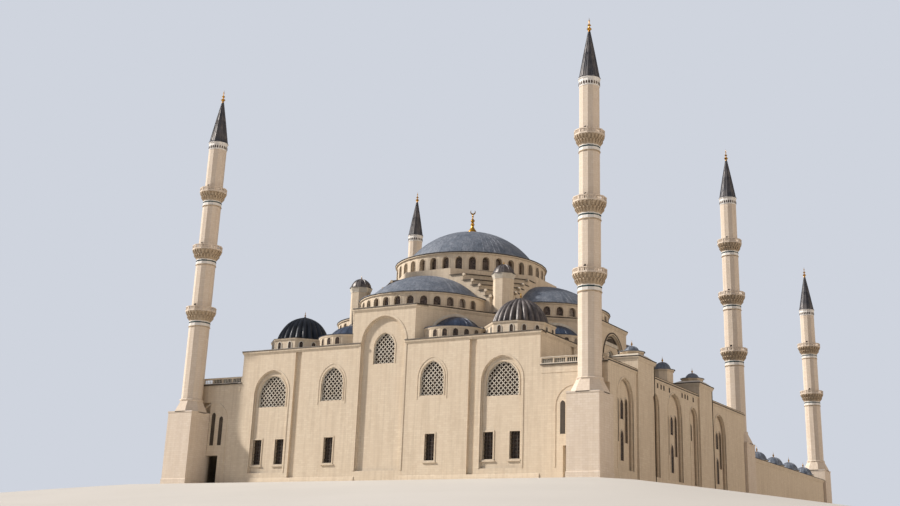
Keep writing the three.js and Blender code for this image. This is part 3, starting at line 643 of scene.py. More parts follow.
def roll(profile: Sequence[Flat], width: float, height: float) -> Shape:
    """Returns a lead roll that runs up a dome's meridian facing -Y.

    Args:
        profile: radius and height pairs of the dome.
        width: the roll's width.
        height: how far it stands out.

    Returns:
        The closed body.
    """
    # The roll's foot is sunk below the sheet
    sunk = 0.05
    sections: list[list[Point]] = []
    for i, (radius, z) in enumerate(profile):
        (r0, z0), (r1, z1) = profile[max(i - 1, 0)], profile[min(i + 1, len(profile) - 1)]
        length = math.hypot(r1 - r0, z1 - z0)
        nr, nz = (z1 - z0) / length, (r0 - r1) / length
        foot_r, foot_z = radius - sunk * nr, z - sunk * nz
        top_r, top_z = radius + height * nr, z + height * nz
        sections.append([
            (-width / 2, -foot_r, foot_z),
            (-width / 4, -top_r, top_z),
            (width / 4, -top_r, top_z),
            (width / 2, -foot_r, foot_z),
        ])
    return swept(sections)


@dataclass(frozen=True)
class Arch:
    """A pointed arch above straight jambs, seen from the front."""

    centre: float
    half: float
    sill: float
    spring: float
    apex: float

    def line(self, out: float = 0.0, steps: int = 8) -> list[Flat]:
        """Traces the arch from its right foot over the crown to its left foot.

        Args:
            out: distance that the line is moved outwards.
            steps: pieces of each half of the arc.

        Returns:
            Points as distance along the wall and height.
        """
        rise = self.apex - self.spring
        radius = (self.half ** 2 + rise ** 2) / (2 * self.half)
        beyond = radius - self.half
        grown = radius + out
        crown = math.acos(beyond / grown)
        arc = [crown * i / steps for i in range(steps + 1)]
        right = [(grown * math.cos(t) - beyond, self.spring + grown * math.sin(t)) for t in arc]
        right[-1] = (0.0, right[-1][1])
        left = [(-x, z) for x, z in reversed(right[:-1])]
        half = self.half + out
        whole = [(half, self.sill), *right, *left, (-half, self.sill)]
        return [(self.centre + x, z) for x, z in whole]

    def on(self, sign: int) -> "Arch":
        """Returns the arch on the right for 1, or its like on the left for -1."""
        return replace(self, centre=sign * self.centre)

    def band(self, start: float, width: float, near: float, far: float, steps: int = 8) -> Shape:
        """Returns a band round the arch, from start to start + width outside its edge."""
        return ribbon(self.line(start + width, steps), self.line(start, steps), near, far)

    def pane(self, near: float, far: float, out: float = 0.0) -> Shape:
        """Returns a plate that fills the arch."""
        return panel(list(reversed(self.line(out))), near, far)

    def diagonals(self, pitch: float, lean: int) -> list[tuple[Flat, Flat]]:
        """Cuts slanting lines to the arch.

        Args:
            pitch: distance between lines along the sill.
            lean: 1 for lines that rise to the right, -1 to the left.

        Returns:
            The two ends of each line.
        """
        outline = self.line()
        edges = list(zip(outline, [*outline[1:], outline[0]]))
        lines = []
        reach = self.apex - self.sill + 2 * self.half
        steps = int(reach / pitch) + 1
        for i in range(-steps, steps + 1):
            level = self.sill + (i + 0.5) * pitch
            hits = []
            for (x0, z0), (x1, z1) in edges:
                s0 = z0 - lean * (x0 - self.centre) - level
                s1 = z1 - lean * (x1 - self.centre) - level
                if (s0 < 0) != (s1 < 0):
                    t = s0 / (s0 - s1)
                    hits.append((x0 + t * (x1 - x0), z0 + t * (z1 - z0)))
            if len(hits) == 2:
                lines.append((hits[0], hits[1]))
        return lines


class Recipe(Enum):
    """Geometry Nodes trees that repeat a shape or give a line its body."""

    COPIES = "Copies along a line or round an axis"
    BARS = "Bars along lines"

    def tree(self) -> Tree:
        """Makes the node tree on first use.

        Returns:
            The node tree of the recipe.
        """
        made = bpy.data.node_groups.get(self.value)
        if made is None:
            made = bpy.data.node_groups.new(self.value, "GeometryNodeTree")
            build = self.build_copies if self is Recipe.COPIES else self.build_bars
            build(made)
        return made

    @staticmethod
    def start(tree: Tree, sizes: Mapping[str, str]) -> bpy.types.NodeOutputs:
        """Gives a tree its inputs and output.

        Args:
            tree: the empty node tree.
            sizes: socket type of each named size.

        Returns:
            Outputs of the group's input node.
        """
        tree.interface.new_socket("Geometry", in_out="INPUT", socket_type="NodeSocketGeometry")
        for name, kind in {**sizes, "Finish": "NodeSocketMaterial"}.items():
            tree.interface.new_socket(name, in_out="INPUT", socket_type=kind)
        tree.interface.new_socket("Geometry", in_out="OUTPUT", socket_type="NodeSocketGeometry")
        return add_node(tree, "NodeGroupInput").outputs

    @staticmethod
    def close(tree: Tree, result: Socket, finish: Socket) -> None:
        """Ends a tree in real geometry with its material.

        Args:
            tree: the node tree.
            result: what the tree has made.
            finish: the material that it gets.
        """
        real = add_node(tree, "GeometryNodeRealizeInstances", {0: result})
        dressed = add_node(tree, "GeometryNodeSetMaterial", {"Geometry": real.outputs[0], "Material": finish})
        add_node(tree, "NodeGroupOutput", {0: dressed.outputs[0]})

    @classmethod
    def build_copies(cls, tree: Tree) -> None:
        """Builds copies of the shape, each moved and turned one step further.

        Args:
            tree: the empty node tree.
        """
        vectors = {name: "NodeSocketVector" for name in ("Step", "First", "Turn", "Heading")}
        given = cls.start(tree, {"Count": "NodeSocketInt", **vectors})
        index = add_node(tree, "GeometryNodeInputIndex").outputs[0]

        def stepped(by: str, start: str) -> Socket:
            """Returns a vector that grows by one step with each copy."""
            inputs = {0: index, 1: given[by], 2: given[start]}
            return add_node(tree, "ShaderNodeVectorMath", inputs, operation="MULTIPLY_ADD").outputs[0]

        place, angles = stepped("Step", "First"), stepped("Turn", "Heading")
        facing = add_node(tree, "FunctionNodeEulerToRotation", {0: angles})
        points = add_node(tree, "GeometryNodePoints", {"Count": given["Count"], "Position": place})
        copies = add_node(
            tree,
            "GeometryNodeInstanceOnPoints",
            {"Points": points.outputs[0], "Instance": given["Geometry"], "Rotation": facing.outputs[0]},
        )
        cls.close(tree, copies.outputs[0], given["Finish"])

    @classmethod
    def build_bars(cls, tree: Tree) -> None:
        """Builds the bars: a rectangular section along each edge of the mesh.

        Args:
            tree: the empty node tree.
        """
        given = cls.start(tree, {"Deep": "NodeSocketFloat", "Wide": "NodeSocketFloat"})
        line = add_node(tree, "GeometryNodeMeshToCurve", {"Mesh": given["Geometry"]})
        section = add_node(
            tree,
            "GeometryNodeCurvePrimitiveQuadrilateral",
            {"Width": given["Deep"], "Height": given["Wide"]},
            mode="RECTANGLE",
        )
        bars = add_node(
            tree,
            "GeometryNodeCurveToMesh",
            {"Curve": line.outputs[0], "Profile Curve": section.outputs[0], "Fill Caps": True},
        )
        cls.close(tree, bars.outputs[0], given["Finish"])

    def run(self, base: bpy.types.Mesh, surface: Surface, **sizes: Any) -> bpy.types.Mesh:
        """Runs the recipe on a mesh.

        Args:
            base: the mesh to repeat or to give a body.
            surface: finish of the result.
            **sizes: the recipe's named inputs.

        Returns:
            The plain result.
        """
        holder = bpy.data.objects.new("holder", base)
        bpy.context.scene.collection.objects.link(holder)
        modifier = holder.modifiers.new("recipe", "NODES")
        modifier.node_group = self.tree()
        values = {**sizes, "Finish": surface.value.material()}
        for item in modifier.node_group.interface.items_tree:
            if item.item_type == "SOCKET" and item.in_out == "INPUT" and item.name in values:
                modifier[item.identifier] = values[item.name]
        graph = bpy.context.evaluated_depsgraph_get()
        result = bpy.data.meshes.new_from_object(holder.evaluated_get(graph), depsgraph=graph)
        holder.modifiers.clear()
        bpy.data.objects.remove(holder)
        bpy.data.meshes.remove(base)
        return result


def ring(shape: Shape, surface: Surface, count: int, step: float, first: float = 0.0) -> Shape:
    """Repeats a shape round the vertical axis.

    Args:
        shape: the shape as it faces -Y.
        surface: its finish.
        count: number of copies.
        step: angle between copies in degrees.
        first: angle of the first copy in degrees.

    Returns:
        All the copies.
    """
    angles = {"Turn": (0.0, 0.0, math.radians(step)), "Heading": (0.0, 0.0, math.radians(first))}
    return back(Recipe.COPIES.run(shape.mesh(), surface, Count=count, **angles))


def row(shape: Shape, surface: Surface, count: int, step: Point, first: Point = (0.0, 0.0, 0.0)) -> Shape:
    """Repeats a shape along a line: like a ring, with moves in the place of angles."""
    return back(Recipe.COPIES.run(shape.mesh(), surface, Count=count, Step=step, First=first))


def bars(lines: Sequence[tuple[Point, Point]], surface: Surface, deep: float, wide: float) -> Shape:
    """Gives straight lines a rectangular body.

    Args:
        lines: the ends of each line.
        surface: their finish.
        deep: size across the wall.
        wide: size along the wall.

    Returns:
        The bars.
    """
    mesh = bpy.data.meshes.new("lines")
    ends = [end for line in lines for end in line]
    mesh.from_pydata(ends, [(2 * i, 2 * i + 1) for i in range(len(lines))], [])
    return back(Recipe.BARS.run(mesh, surface, Deep=deep, Wide=wide))


def back(mesh: bpy.types.Mesh) -> Shape:
    """Turns a recipe's mesh into a shape.

    Args:
        mesh: the mesh, which is removed.

    Returns:
        The shape.
    """
    corners = [tuple(vertex.co) for vertex in mesh.vertices]
    shape = Shape(corners, [tuple(polygon.vertices) for polygon in mesh.polygons])
    bpy.data.meshes.remove(mesh)
    return shape


def piece(
    name: str,
    shape: Shape,
    surface: Surface,
    replaced: Sequence[str] = (),
    smooth: float = 32.0,
) -> bpy.types.Object:
    """Makes a finished piece of the building.

    Args:
        name: the piece's name.
        shape: its shape in metres of the real building.
        surface: its finish.
        replaced: names of the CAD nodes that it stands for.
        smooth: largest angle in degrees between faces that are shaded as one.

    Returns:
        The piece's object.
    """
    mesh = shape.mesh()
    mesh.name = name
    mesh.transform(Matrix.Scale(MODEL, 4))
    work = bmesh.new()
    work.from_mesh(mesh)
    bmesh.ops.recalc_face_normals(work, faces=work.faces)
    work.to_mesh(mesh)
    work.free()
    for polygon in mesh.polygons:
        polygon.use_smooth = True
    mesh.set_sharp_from_angle(angle=math.radians(smooth))
    mesh.materials.append(surface.value.material())
    made = bpy.data.objects.new(name, mesh)
    bpy.context.scene.collection.objects.link(made)
    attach(made, "root")
    if replaced:
        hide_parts(*replaced)
    LOG.info("%s: %d faces, %s", name, len(mesh.polygons), surface.value.name)
    return made


# Width and height of the large domes' rolls that reach the crown, and of those that end lower
LONG_ROLL = (0.18, 0.028)
SHORT_ROLL = (0.16, 0.022)
SIDES = ("front", "right", "rear", "left")
CORNERS = ("front_right", "rear_right", "rear_left", "front_left")
HANDS = (("right", 1), ("left", -1))


@dataclass(frozen=True)
class Balcony:
    """Heights and radii of one minaret balcony."""

    band: float
    slab: float
    parapet: float
    radius: float
    above: float


@dataclass(frozen=True)
class Cone:
    """Heights of a minaret's lead cone and finial."""

    base: float
    top: float
    tip: float


LOW_BALCONY = Balcony(41.8, 43.9, 45.15, 3.92, 2.57)
MID_BALCONY = Balcony(58.3, 60.5, 61.8, 3.9, 2.42)
HIGH_BALCONY = Balcony(74.6, 76.6, 77.9, 3.58, 2.38)
TALL_CONE = Cone(90.94, 103.35, 107.1)
SHORT_CONE = Cone(73.95, 86.3, 90.0)


@dataclass
class Minaret:
    """A twelve-sided stone shaft on a square plinth, with balconies, a lead cone and a gilt finial."""

    place: str
    x: float
    y: float
    balconies: tuple[Balcony, ...]
    cone: Cone
    sides: int = 12
    phase: float = 15.0
    plinth_half: float = 3.95
    plinth_top: float = 18.0
    shoe_top: float = 20.8
    shaft: float = 2.67

    def storeys(self) -> list[tuple[float, Balcony]]:
        """Returns each balcony after the shaft's radius below it."""
        return list(zip((self.shaft, *(balcony.above for balcony in self.balconies)), self.balconies))

    def face(self, radius: float) -> float:
        """Returns the Y of a flat side of the shaft, from the radius of its corners."""
        return -radius * math.cos(math.pi / self.sides)

    def around(self, shape: Shape, surface: Surface, first: float = 0.0) -> Shape:
        """Repeats a shape for each side of the shaft."""
        return ring(shape, surface, self.sides, 360 / self.sides, first)

    def ring_band(self, radius: float, low: float, high: float, swell: float = 0.0) -> Shape:
        """Lays a belt round the shaft.

        Args:
            radius: radius of its corners.
            low: height of its foot.
            high: height of its top.
            swell: how far its middle stands out.

        Returns:
            The belt.
        """
        middle = (low + high) / 2
        section = [(-0.3, low), (0.0, low), (swell, middle), (0.0, high), (-0.3, high)]
        return turned(set_off(section, radius), self.sides, self.phase)

    def tower(self) -> Shape:
        """Builds the tower from the ground to the cone.

        Returns:
            The plinth, the flared shoe and the shaft.
        """
        wide, inset = self.plinth_half, self.plinth_half - 0.12
        square = [(-wide, -wide), (wide, -wide), (wide, wide), (-wide, wide)]
        plinth = block((-inset, -inset, 0.0), (inset, inset, self.plinth_top))
        foot = [(-0.3, 0.0), (0.0, 0.0), (0.0, 1.3), (-0.12, 1.5), (-0.3, 1.5)]
        head = [(-0.3, 17.5), (-0.12, 17.5), (0.0, 17.7), (0.0, 18.0), (-0.3, 18.1)]
        courses = [moulding(square, section, closed=True) for section in (foot, head)]
        octagon = wide / math.cos(math.pi / 8)
        shoe = eight_sided([
            (0.0, self.plinth_top - 0.2),
            (octagon, self.plinth_top - 0.2),
            (octagon, self.plinth_top + 0.05),
            (octagon - 0.3, self.plinth_top + 0.8),
            (self.shaft + 0.42, self.shoe_top - 0.3),
            (self.shaft + 0.3, self.shoe_top),
            (0.0, self.shoe_top),
        ])
        profile = [(0.0, self.shoe_top - 0.5), (self.shaft, self.shoe_top - 0.5)]
        for radius, balcony in self.storeys():
            profile += [
                (radius, balcony.slab - 0.2),
                (balcony.radius - 0.35, balcony.slab - 0.2),
                (balcony.radius - 0.05, balcony.slab),
                (balcony.radius - 0.05, balcony.slab + 0.3),
                (balcony.above, balcony.slab + 0.3),
            ]
        end = self.cone.base - 0.3
        profile += [(self.balconies[-1].above, end), (0.0, end)]
        collar = self.ring_band(self.shaft + 0.25, self.shoe_top - 0.05, self.shoe_top + 0.5, 0.14)
        return gathered([plinth, *courses, shoe, turned(profile, self.sides, self.phase), collar])

    def corbels(self) -> Shape:
        """Builds the carved work under the balconies, in a darker stone that is painted shade.

        Returns:
            The stalactite work and the thin rings below it.
        """
        parts = Shape()
        for radius, balcony in self.storeys():
            slab, reach = balcony.slab, balcony.radius
            tall = slab - (balcony.band - 0.35)
            span = reach - radius
            middle = slab - 0.52 * tall
            core = turned([
                (radius - 0.3, slab - tall),
                (radius + 0.04, slab - tall),
                (radius + 0.22 * span, slab - 0.72 * tall),
                (radius + 0.34 * span, middle),
                (radius + 0.5 * span, slab - 0.3 * tall),
                (reach - 0.22, slab - 0.1),
                (radius - 0.3, slab - 0.1),
            ], 2 * self.sides, self.phase)
            lower = bracket([
                (radius - 0.1, slab - 0.98 * tall),
                (radius + 0.16, slab - 0.9 * tall),
                (radius + 0.6 * span, slab - 0.6 * tall),
                (radius + 0.6 * span, middle + 0.05),
                (radius - 0.1, middle + 0.05),
            ], 0.36)
            upper = bracket([
                (radius + 0.2, middle),
                (radius + 0.62 * span, slab - 0.4 * tall),
                (reach - 0.1, slab - 0.16 * tall),
                (reach - 0.1, slab - 0.05),
                (radius + 0.2, slab - 0.05),
            ], 0.42)
            parts.join(core)
            parts.join(ring(lower, Surface.CARVED_IN_PAINTED_SHADE, 24, 15.0))
            parts.join(ring(upper, Surface.CARVED_IN_PAINTED_SHADE, 24, 15.0, 7.5))
            parts.join(self.ring_band(radius + 0.13, balcony.band - 1.95, balcony.band - 1.65, 0.08))
        return parts

    def parapets(self) -> Shape:
        """Builds the pierced parapets.

        Returns:
            Rails, posts and bars of all balconies.
        """
        parts = Shape()
        for balcony in self.balconies:
            reach, low, high = balcony.radius, balcony.slab, balcony.parapet
            for inner, outer, bottom, top in (
                (reach - 0.34, reach + 0.05, low - 0.02, low + 0.34),
                (reach - 0.28, reach + 0.06, high - 0.22, high),
            ):
                rail = [(inner, bottom), (outer, bottom), (outer, top), (inner, top)]
                parts.join(turned(rail, self.sides, self.phase))
            apothem = reach * math.cos(math.pi / self.sides)
            half = reach * math.sin(math.pi / self.sides)
            bay = Shape()
            for across in (-0.6, -0.2, 0.2, 0.6):
                bay.join(block(
                    (across * half - 0.08, -apothem + 0.02, low + 0.3),
                    (across * half + 0.08, -apothem + 0.2, high - 0.2),
                ))
            post = block((-0.17, -reach, low), (0.17, 0.34 - reach, high + 0.02))
            parts.join(self.around(bay, Surface.MINARET_STONE))
            parts.join(self.around(post, Surface.MINARET_STONE, self.phase))
        return parts

    def bands(self) -> Shape:
        """Lays the white belts.

        Returns:
            The belts below the balconies and under the cone.
        """
        parts = gathered(
            self.ring_band(radius + 0.06, balcony.band - 1.65, balcony.band - 0.3)
            for radius, balcony in self.storeys()
        )
        radius, base = self.balconies[-1].above, self.cone.base
        parts.join(self.ring_band(radius + 0.08, base - 2.05, base - 0.3, 0.1))
        section = [(-0.2, -0.36), (0.1, -0.36), (0.3, -0.1), (0.3, 0.02), (-0.2, 0.02)]
        return parts.join(turned(set_off(section, radius, base), self.sides, self.phase))

    def belts(self) -> Shape:
        """Lays the glazed belts.

        Returns:
            The narrow belts in the middle of the white ones.
        """
        return gathered(
            self.ring_band(radius + 0.1, balcony.band - 0.92, balcony.band - 0.6)
            for radius, balcony in self.storeys()
        )

    @staticmethod
    def door(balcony: Balcony) -> Arch:
        """Returns the opening of the door above a balcony."""
        return Arch(0.0, 0.36, balcony.slab + 0.3, balcony.slab + 1.6, balcony.slab + 2.1)

    def dark_openings(self) -> Shape:
        """Builds the dark openings.

        Returns:
            The balcony doors, as dark panels, and the oval holes under the cone, whose dark panels are
            painted shade inside the holes.
        """
        parts = Shape()
        for balcony in self.balconies:
            face = self.face(balcony.above)
            parts.join(self.door(balcony).pane(face - 0.04, face + 0.2))
        face = self.face(self.balconies[-1].above + 0.14)
        # Dark panels in the oval holes: painted shade inside them.
        for across in (-0.32, 0.32):
            oval = set_off([(0.2 * x, 0.42 * z) for x, z in circle(1.0, 12)], across, self.cone.base - 1.35)
            parts.join(self.around(panel(oval, face - 0.06, face + 0.1), Surface.GLASS))
        return parts

    def door_frames(self) -> Shape:
        """Builds the door frames.

        Returns:
            The stone surrounds of the balcony doors.
        """
        parts = Shape()
        for balcony in self.balconies:
            face = self.face(balcony.above)
            parts.join(self.door(balcony).band(0.0, 0.16, face - 0.1, face + 0.1, 4))
        return parts

    def cone_sheets(self) -> Shape:
        """Builds the lead cone.

        Returns:
            The twelve-sided cone with a roll on each edge and one between.
        """
        base, top = self.cone.base, self.cone.top
        profile = [
            (0.0, base),
            (2.62, base),
            (2.66, base + 0.12),
            (2.42, base + 0.5),
            (0.24, top),
            (0.0, top),
        ]
        body = turned(profile, self.sides, self.phase)
        line = [(2.66, base + 0.12), (2.42, base + 0.5), (1.33, base + 6.7), (0.26, top - 0.1)]
        flat = [(radius * math.cos(math.pi / self.sides), z) for radius, z in line[:-1]]
        edge_rolls = self.around(roll(line, 0.12, 0.07), Surface.SPIRE_LEAD, self.phase)
        face_rolls = self.around(roll(flat, 0.1, 0.05), Surface.SPIRE_LEAD)
        return gathered([body, edge_rolls, face_rolls])

    def finial(self) -> Shape:
        """Turns the gilt finial.

        Returns:
            The finial with its balls and spike.
        """
        profile = [
            (0.0, -0.1), (0.34, -0.1), (0.26, 0.15), (0.18, 0.3), (0.4, 0.42), (0.6, 0.7), (0.4, 0.98),
            (0.16, 1.1), (0.14, 1.4), (0.34, 1.55), (0.44, 1.7), (0.28, 1.88), (0.12, 2.0), (0.1, 2.7),
            (0.22, 2.85), (0.08, 3.0),
        ]
        return turned([*set_off(profile, 0.0, self.cone.top), (0.0, self.cone.tip)], 16)

    def dress(self) -> None:
        """Makes the minaret's pieces."""
        at = shift(self.x, self.y)
        tower, spire = f"minaret_tower_{self.place}", f"minaret_spire_{self.place}"
        stem = f"minaret_{self.place}"
        piece(f"{stem}_shaft", self.tower().moved(at), Surface.MINARET_STONE, [tower], 20)
        piece(f"{stem}_corbels", self.corbels().moved(at), Surface.CARVED_IN_PAINTED_SHADE)
        parapets = self.parapets().join(self.door_frames())
        piece(f"{stem}_parapets", parapets.moved(at), Surface.MINARET_STONE, (), 20)
        piece(f"{stem}_white_bands", self.bands().moved(at), Surface.WHITE_MARBLE, (), 20)
        piece(f"{stem}_tile_belts", self.belts().moved(at), Surface.TILE, (), 20)
        piece(f"{stem}_dark_openings", self.dark_openings().moved(at), Surface.GLASS)
        piece(f"{stem}_cone", self.cone_sheets().moved(at), Surface.SPIRE_LEAD, [spire], 20)
        piece(f"{stem}_finial", self.finial().moved(at), Surface.GILT)


@dataclass
class MainDome:
    """The great dome, its windowed drum and its finial."""

    drum_radius: float = 20.5
    drum_low: float = 55.3
    drum_high: float = 60.4
    bays: int = 36
    step: float = 10.0
    window: Arch = Arch(0.0, 0.92, 55.7, 58.38, 59.3)
    glass_radius: float = 19.3
    skirt: float = 20.7
    foot: float = 18.0
    foot_z: float = 61.0
    crown: float = 70.8

    def sheets(self) -> Shape:
        """Builds the lead skin.

        Returns:
            The skin with its sloping skirt.
        """
        outer = [
            (self.skirt, self.drum_high + 0.02),
            (self.skirt, self.drum_high + 0.24),
            (self.foot + 0.7, self.foot_z - 0.05),
            *cap_arc(self.foot + 0.04, self.foot_z, self.crown + 0.02, 28),
        ]
        under = cap_arc(self.foot - 0.9, self.foot_z, self.crown - 0.8, 14)
        inner = [(0.0, self.crown - 0.8), *reversed(under[:-1])]
        inner.append((self.foot - 0.9, self.drum_high + 0.02))
        return turned([*outer, *inner], 4 * self.bays, self.step / 8)

    def rolls(self) -> Shape:
        """Builds the lead rolls.

        Returns:
            The rolls where the sheets meet.
        """
        line = cap_arc(self.foot + 0.04, self.foot_z, self.crown + 0.02, 20)
        skirt = [(self.skirt, self.drum_high + 0.24), (self.foot + 0.7, self.foot_z - 0.05)]
        long = roll([*skirt, *line[:-2]], *LONG_ROLL)
        short = roll([*skirt, *line[:-9]], *SHORT_ROLL)
        return gathered([
            ring(long, Surface.LEAD, self.bays, self.step),
            ring(short, Surface.LEAD, self.bays, self.step, self.step / 2),
        ])

    def drum_stone(self) -> Shape:
        """Builds the stone of the drum's windows.

        Returns:
            Their surrounds and sills.
        """
        face = -self.drum_radius * math.cos(math.pi / self.bays)
        bay = self.window.band(0.0, 0.2, face - 0.1, face + 0.15, 6)
        bay.join(block((-1.15, face - 0.14, self.window.sill - 0.14), (1.15, face + 0.4, self.window.sill)))
        return ring(bay, Surface.ASHLAR, self.bays, self.step)

    def drum_glass(self) -> Shape:
        """Returns the leaded windows, set deep in the wall."""
        pane = self.window.pane(-self.glass_radius, 0.12 - self.glass_radius, 0.1)
        return ring(pane, Surface.GLASS, self.bays, self.step)

    def drum_flashing(self) -> Shape:
        """Builds the drum's dark lead edges; the top one is also the painted shadow under the drum's cornice.

        Returns:
            The edges at the top and the foot.
        """
        top = [(-0.4, -0.16), (0.44, -0.16), (0.56, -0.06), (0.56, 0.07), (-0.4, 0.1)]
        foot = [(-0.3, 0.02), (0.45, 0.02), (0.45, 0.12), (0.08, 0.25), (-0.3, 0.25)]
        return gathered(
            turned(set_off(section, self.drum_radius, height), self.bays, self.step / 2)
            for section, height in ((top, self.drum_high), (foot, self.drum_low))
        )

    def finial(self) -> Shape:
        """Turns the tall gilt finial.

        Returns:
            The finial with its crescent.
        """
        z = self.crown
        profile = [
            (0.0, -0.1), (1.5, -0.1), (1.4, 0.15), (1.3, 0.6), (1.0, 1.1), (0.62, 1.6), (0.38, 2.1),
            (0.34, 2.4), (0.5, 2.6), (0.55, 2.85), (0.42, 3.1), (0.24, 3.3), (0.4, 3.5), (0.58, 3.85),
            (0.44, 4.2), (0.2, 4.4), (0.16, 5.0), (0.3, 5.2), (0.16, 5.4), (0.12, 5.7), (0.0, 5.8),
        ]
        arc = [math.radians(-215 + 250 * i / 16) for i in range(17)]
        outer = [(0.75 * math.cos(a), z + 6.4 + 0.75 * math.sin(a)) for a in arc]
        inner = [(0.55 * math.cos(a), z + 6.6 + 0.55 * math.sin(a)) for a in arc]
        crescent = ribbon(outer, inner, -0.1, 0.1).moved(turn(28))
        return turned(set_off(profile, 0.0, z), 32).join(crescent)

    def dress(self) -> None:
        """Makes the pieces of the dome and its drum."""
        piece("main_dome_lead", self.sheets(), Surface.LEAD, ["main_dome"])
        piece("main_dome_rolls", self.rolls(), Surface.LEAD)
        piece("main_drum_surrounds", self.drum_stone(), Surface.ASHLAR)
        piece("main_drum_windows", self.drum_glass(), Surface.BROWN_GLASS)
        piece("main_drum_flashing", self.drum_flashing(), Surface.LEAD_EDGE_AND_PAINTED_SHADE)
        piece("main_dome_finial", self.finial(), Surface.GILT, ["main_finial"])


@dataclass
class HalfDome:
    """A half-dome on a drum with arched windows, at the middle of one side."""

    side: str
    turns: int
    centre: float = 22.6
    drum: float = 17.07
    low: float = 41.86
    foot: float = 15.5
    foot_z: float = 46.1
    crown: float = 53.3
    windows: int = 14
    glass_radius: float = 16.35
    step: float = 11.25
    window: Arch = Arch(0.0, 0.9, 42.7, 44.1, 45.0)

    def place(self) -> Matrix:
        """Finds the place on the diagonal flank.

        Returns:
            The move from the origin to this half-dome.
        """
        return turn(90 * self.turns) @ shift(0, -self.centre)

    def sheets(self) -> Shape:
        """Builds the lead skin.

        Returns:
            The skin with its skirt.
        """
        outer = [
            (self.drum + 0.45, self.foot_z - 0.14),
            (self.drum + 0.45, self.foot_z + 0.02),
            (self.foot + 0.5, self.foot_z + 0.22),
            *cap_arc(self.foot + 0.05, self.foot_z + 0.1, self.crown + 0.05, 20),
        ]
        under = cap_arc(self.foot - 0.2, self.foot_z, self.crown - 0.15, 12)
        inner = [(0.0, self.crown - 0.15), *reversed(under[:-1])]
        return turned([*outer, *inner, (self.foot - 0.2, self.foot_z - 0.14)], 64, half=True)

    def rolls(self) -> Shape:
        """Builds the lead rolls.

        Returns:
            The rolls where the sheets meet.
        """
        line = cap_arc(self.foot + 0.05, self.foot_z + 0.1, self.crown + 0.05, 14)
        skirt = [(self.drum + 0.45, self.foot_z + 0.02), (self.foot + 0.5, self.foot_z + 0.22)]
        long = roll([*skirt, *line[:-2]], *LONG_ROLL)
        short = roll([*skirt, *line[:-6]], *SHORT_ROLL)
        return gathered([
            ring(long, Surface.LEAD, 15, self.step, -7 * self.step),
            ring(short, Surface.LEAD, 16, self.step, -7.5 * self.step),
        ])

    def surrounds(self) -> Shape:
        """Builds the stone of the drum's windows.

        Returns:
            Their frames and sills.
        """
        face, sill = -self.drum * math.cos(math.radians(self.step / 2)), self.window.sill
        surround = self.window.band(0.0, 0.2, face - 0.1, face + 0.15, 5)
        surround.join(block((-1.15, face - 0.14, sill - 0.2), (1.15, face + 0.2, sill)))
        return ring(surround, Surface.ASHLAR, self.windows, self.step, -6.5 * self.step)

    def glass(self) -> Shape:
        """Returns the leaded windows."""
        pane = self.window.pane(-self.glass_radius, 0.15 - self.glass_radius, 0.1)
        return ring(pane, Surface.GLASS, self.windows, self.step, -6.5 * self.step)

    def flashing(self) -> Shape:
        """Builds the drum's lead edges.

        Returns:
            The edges at the foot and under the cap.
        """
        foot = [(-0.2, 0.01), (0.3, 0.01), (0.05, 0.25), (-0.2, 0.25)]
        top = [(-0.2, -0.26), (0.4, -0.26), (0.5, -0.2), (0.5, -0.1), (-0.2, -0.1)]
        return gathered(
            turned(set_off(section, self.drum, height), 16, half=True)
            for section, height in ((foot, self.low), (top, self.foot_z))
        )

    def dress(self) -> None:
        """Makes the half-dome's pieces."""
        at, stem = self.place(), f"half_dome_{self.side}"
        piece(f"{stem}_lead", self.sheets().moved(at), Surface.LEAD)
        piece(f"{stem}_rolls", self.rolls().moved(at), Surface.LEAD)
        piece(f"{stem}_surrounds", self.surrounds().moved(at), Surface.ASHLAR)
        piece(f"{stem}_windows", self.glass().moved(at), Surface.BROWN_GLASS)
        piece(f"{stem}_flashing", self.flashing().moved(at), Surface.LEAD_EDGE_AND_PAINTED_SHADE)


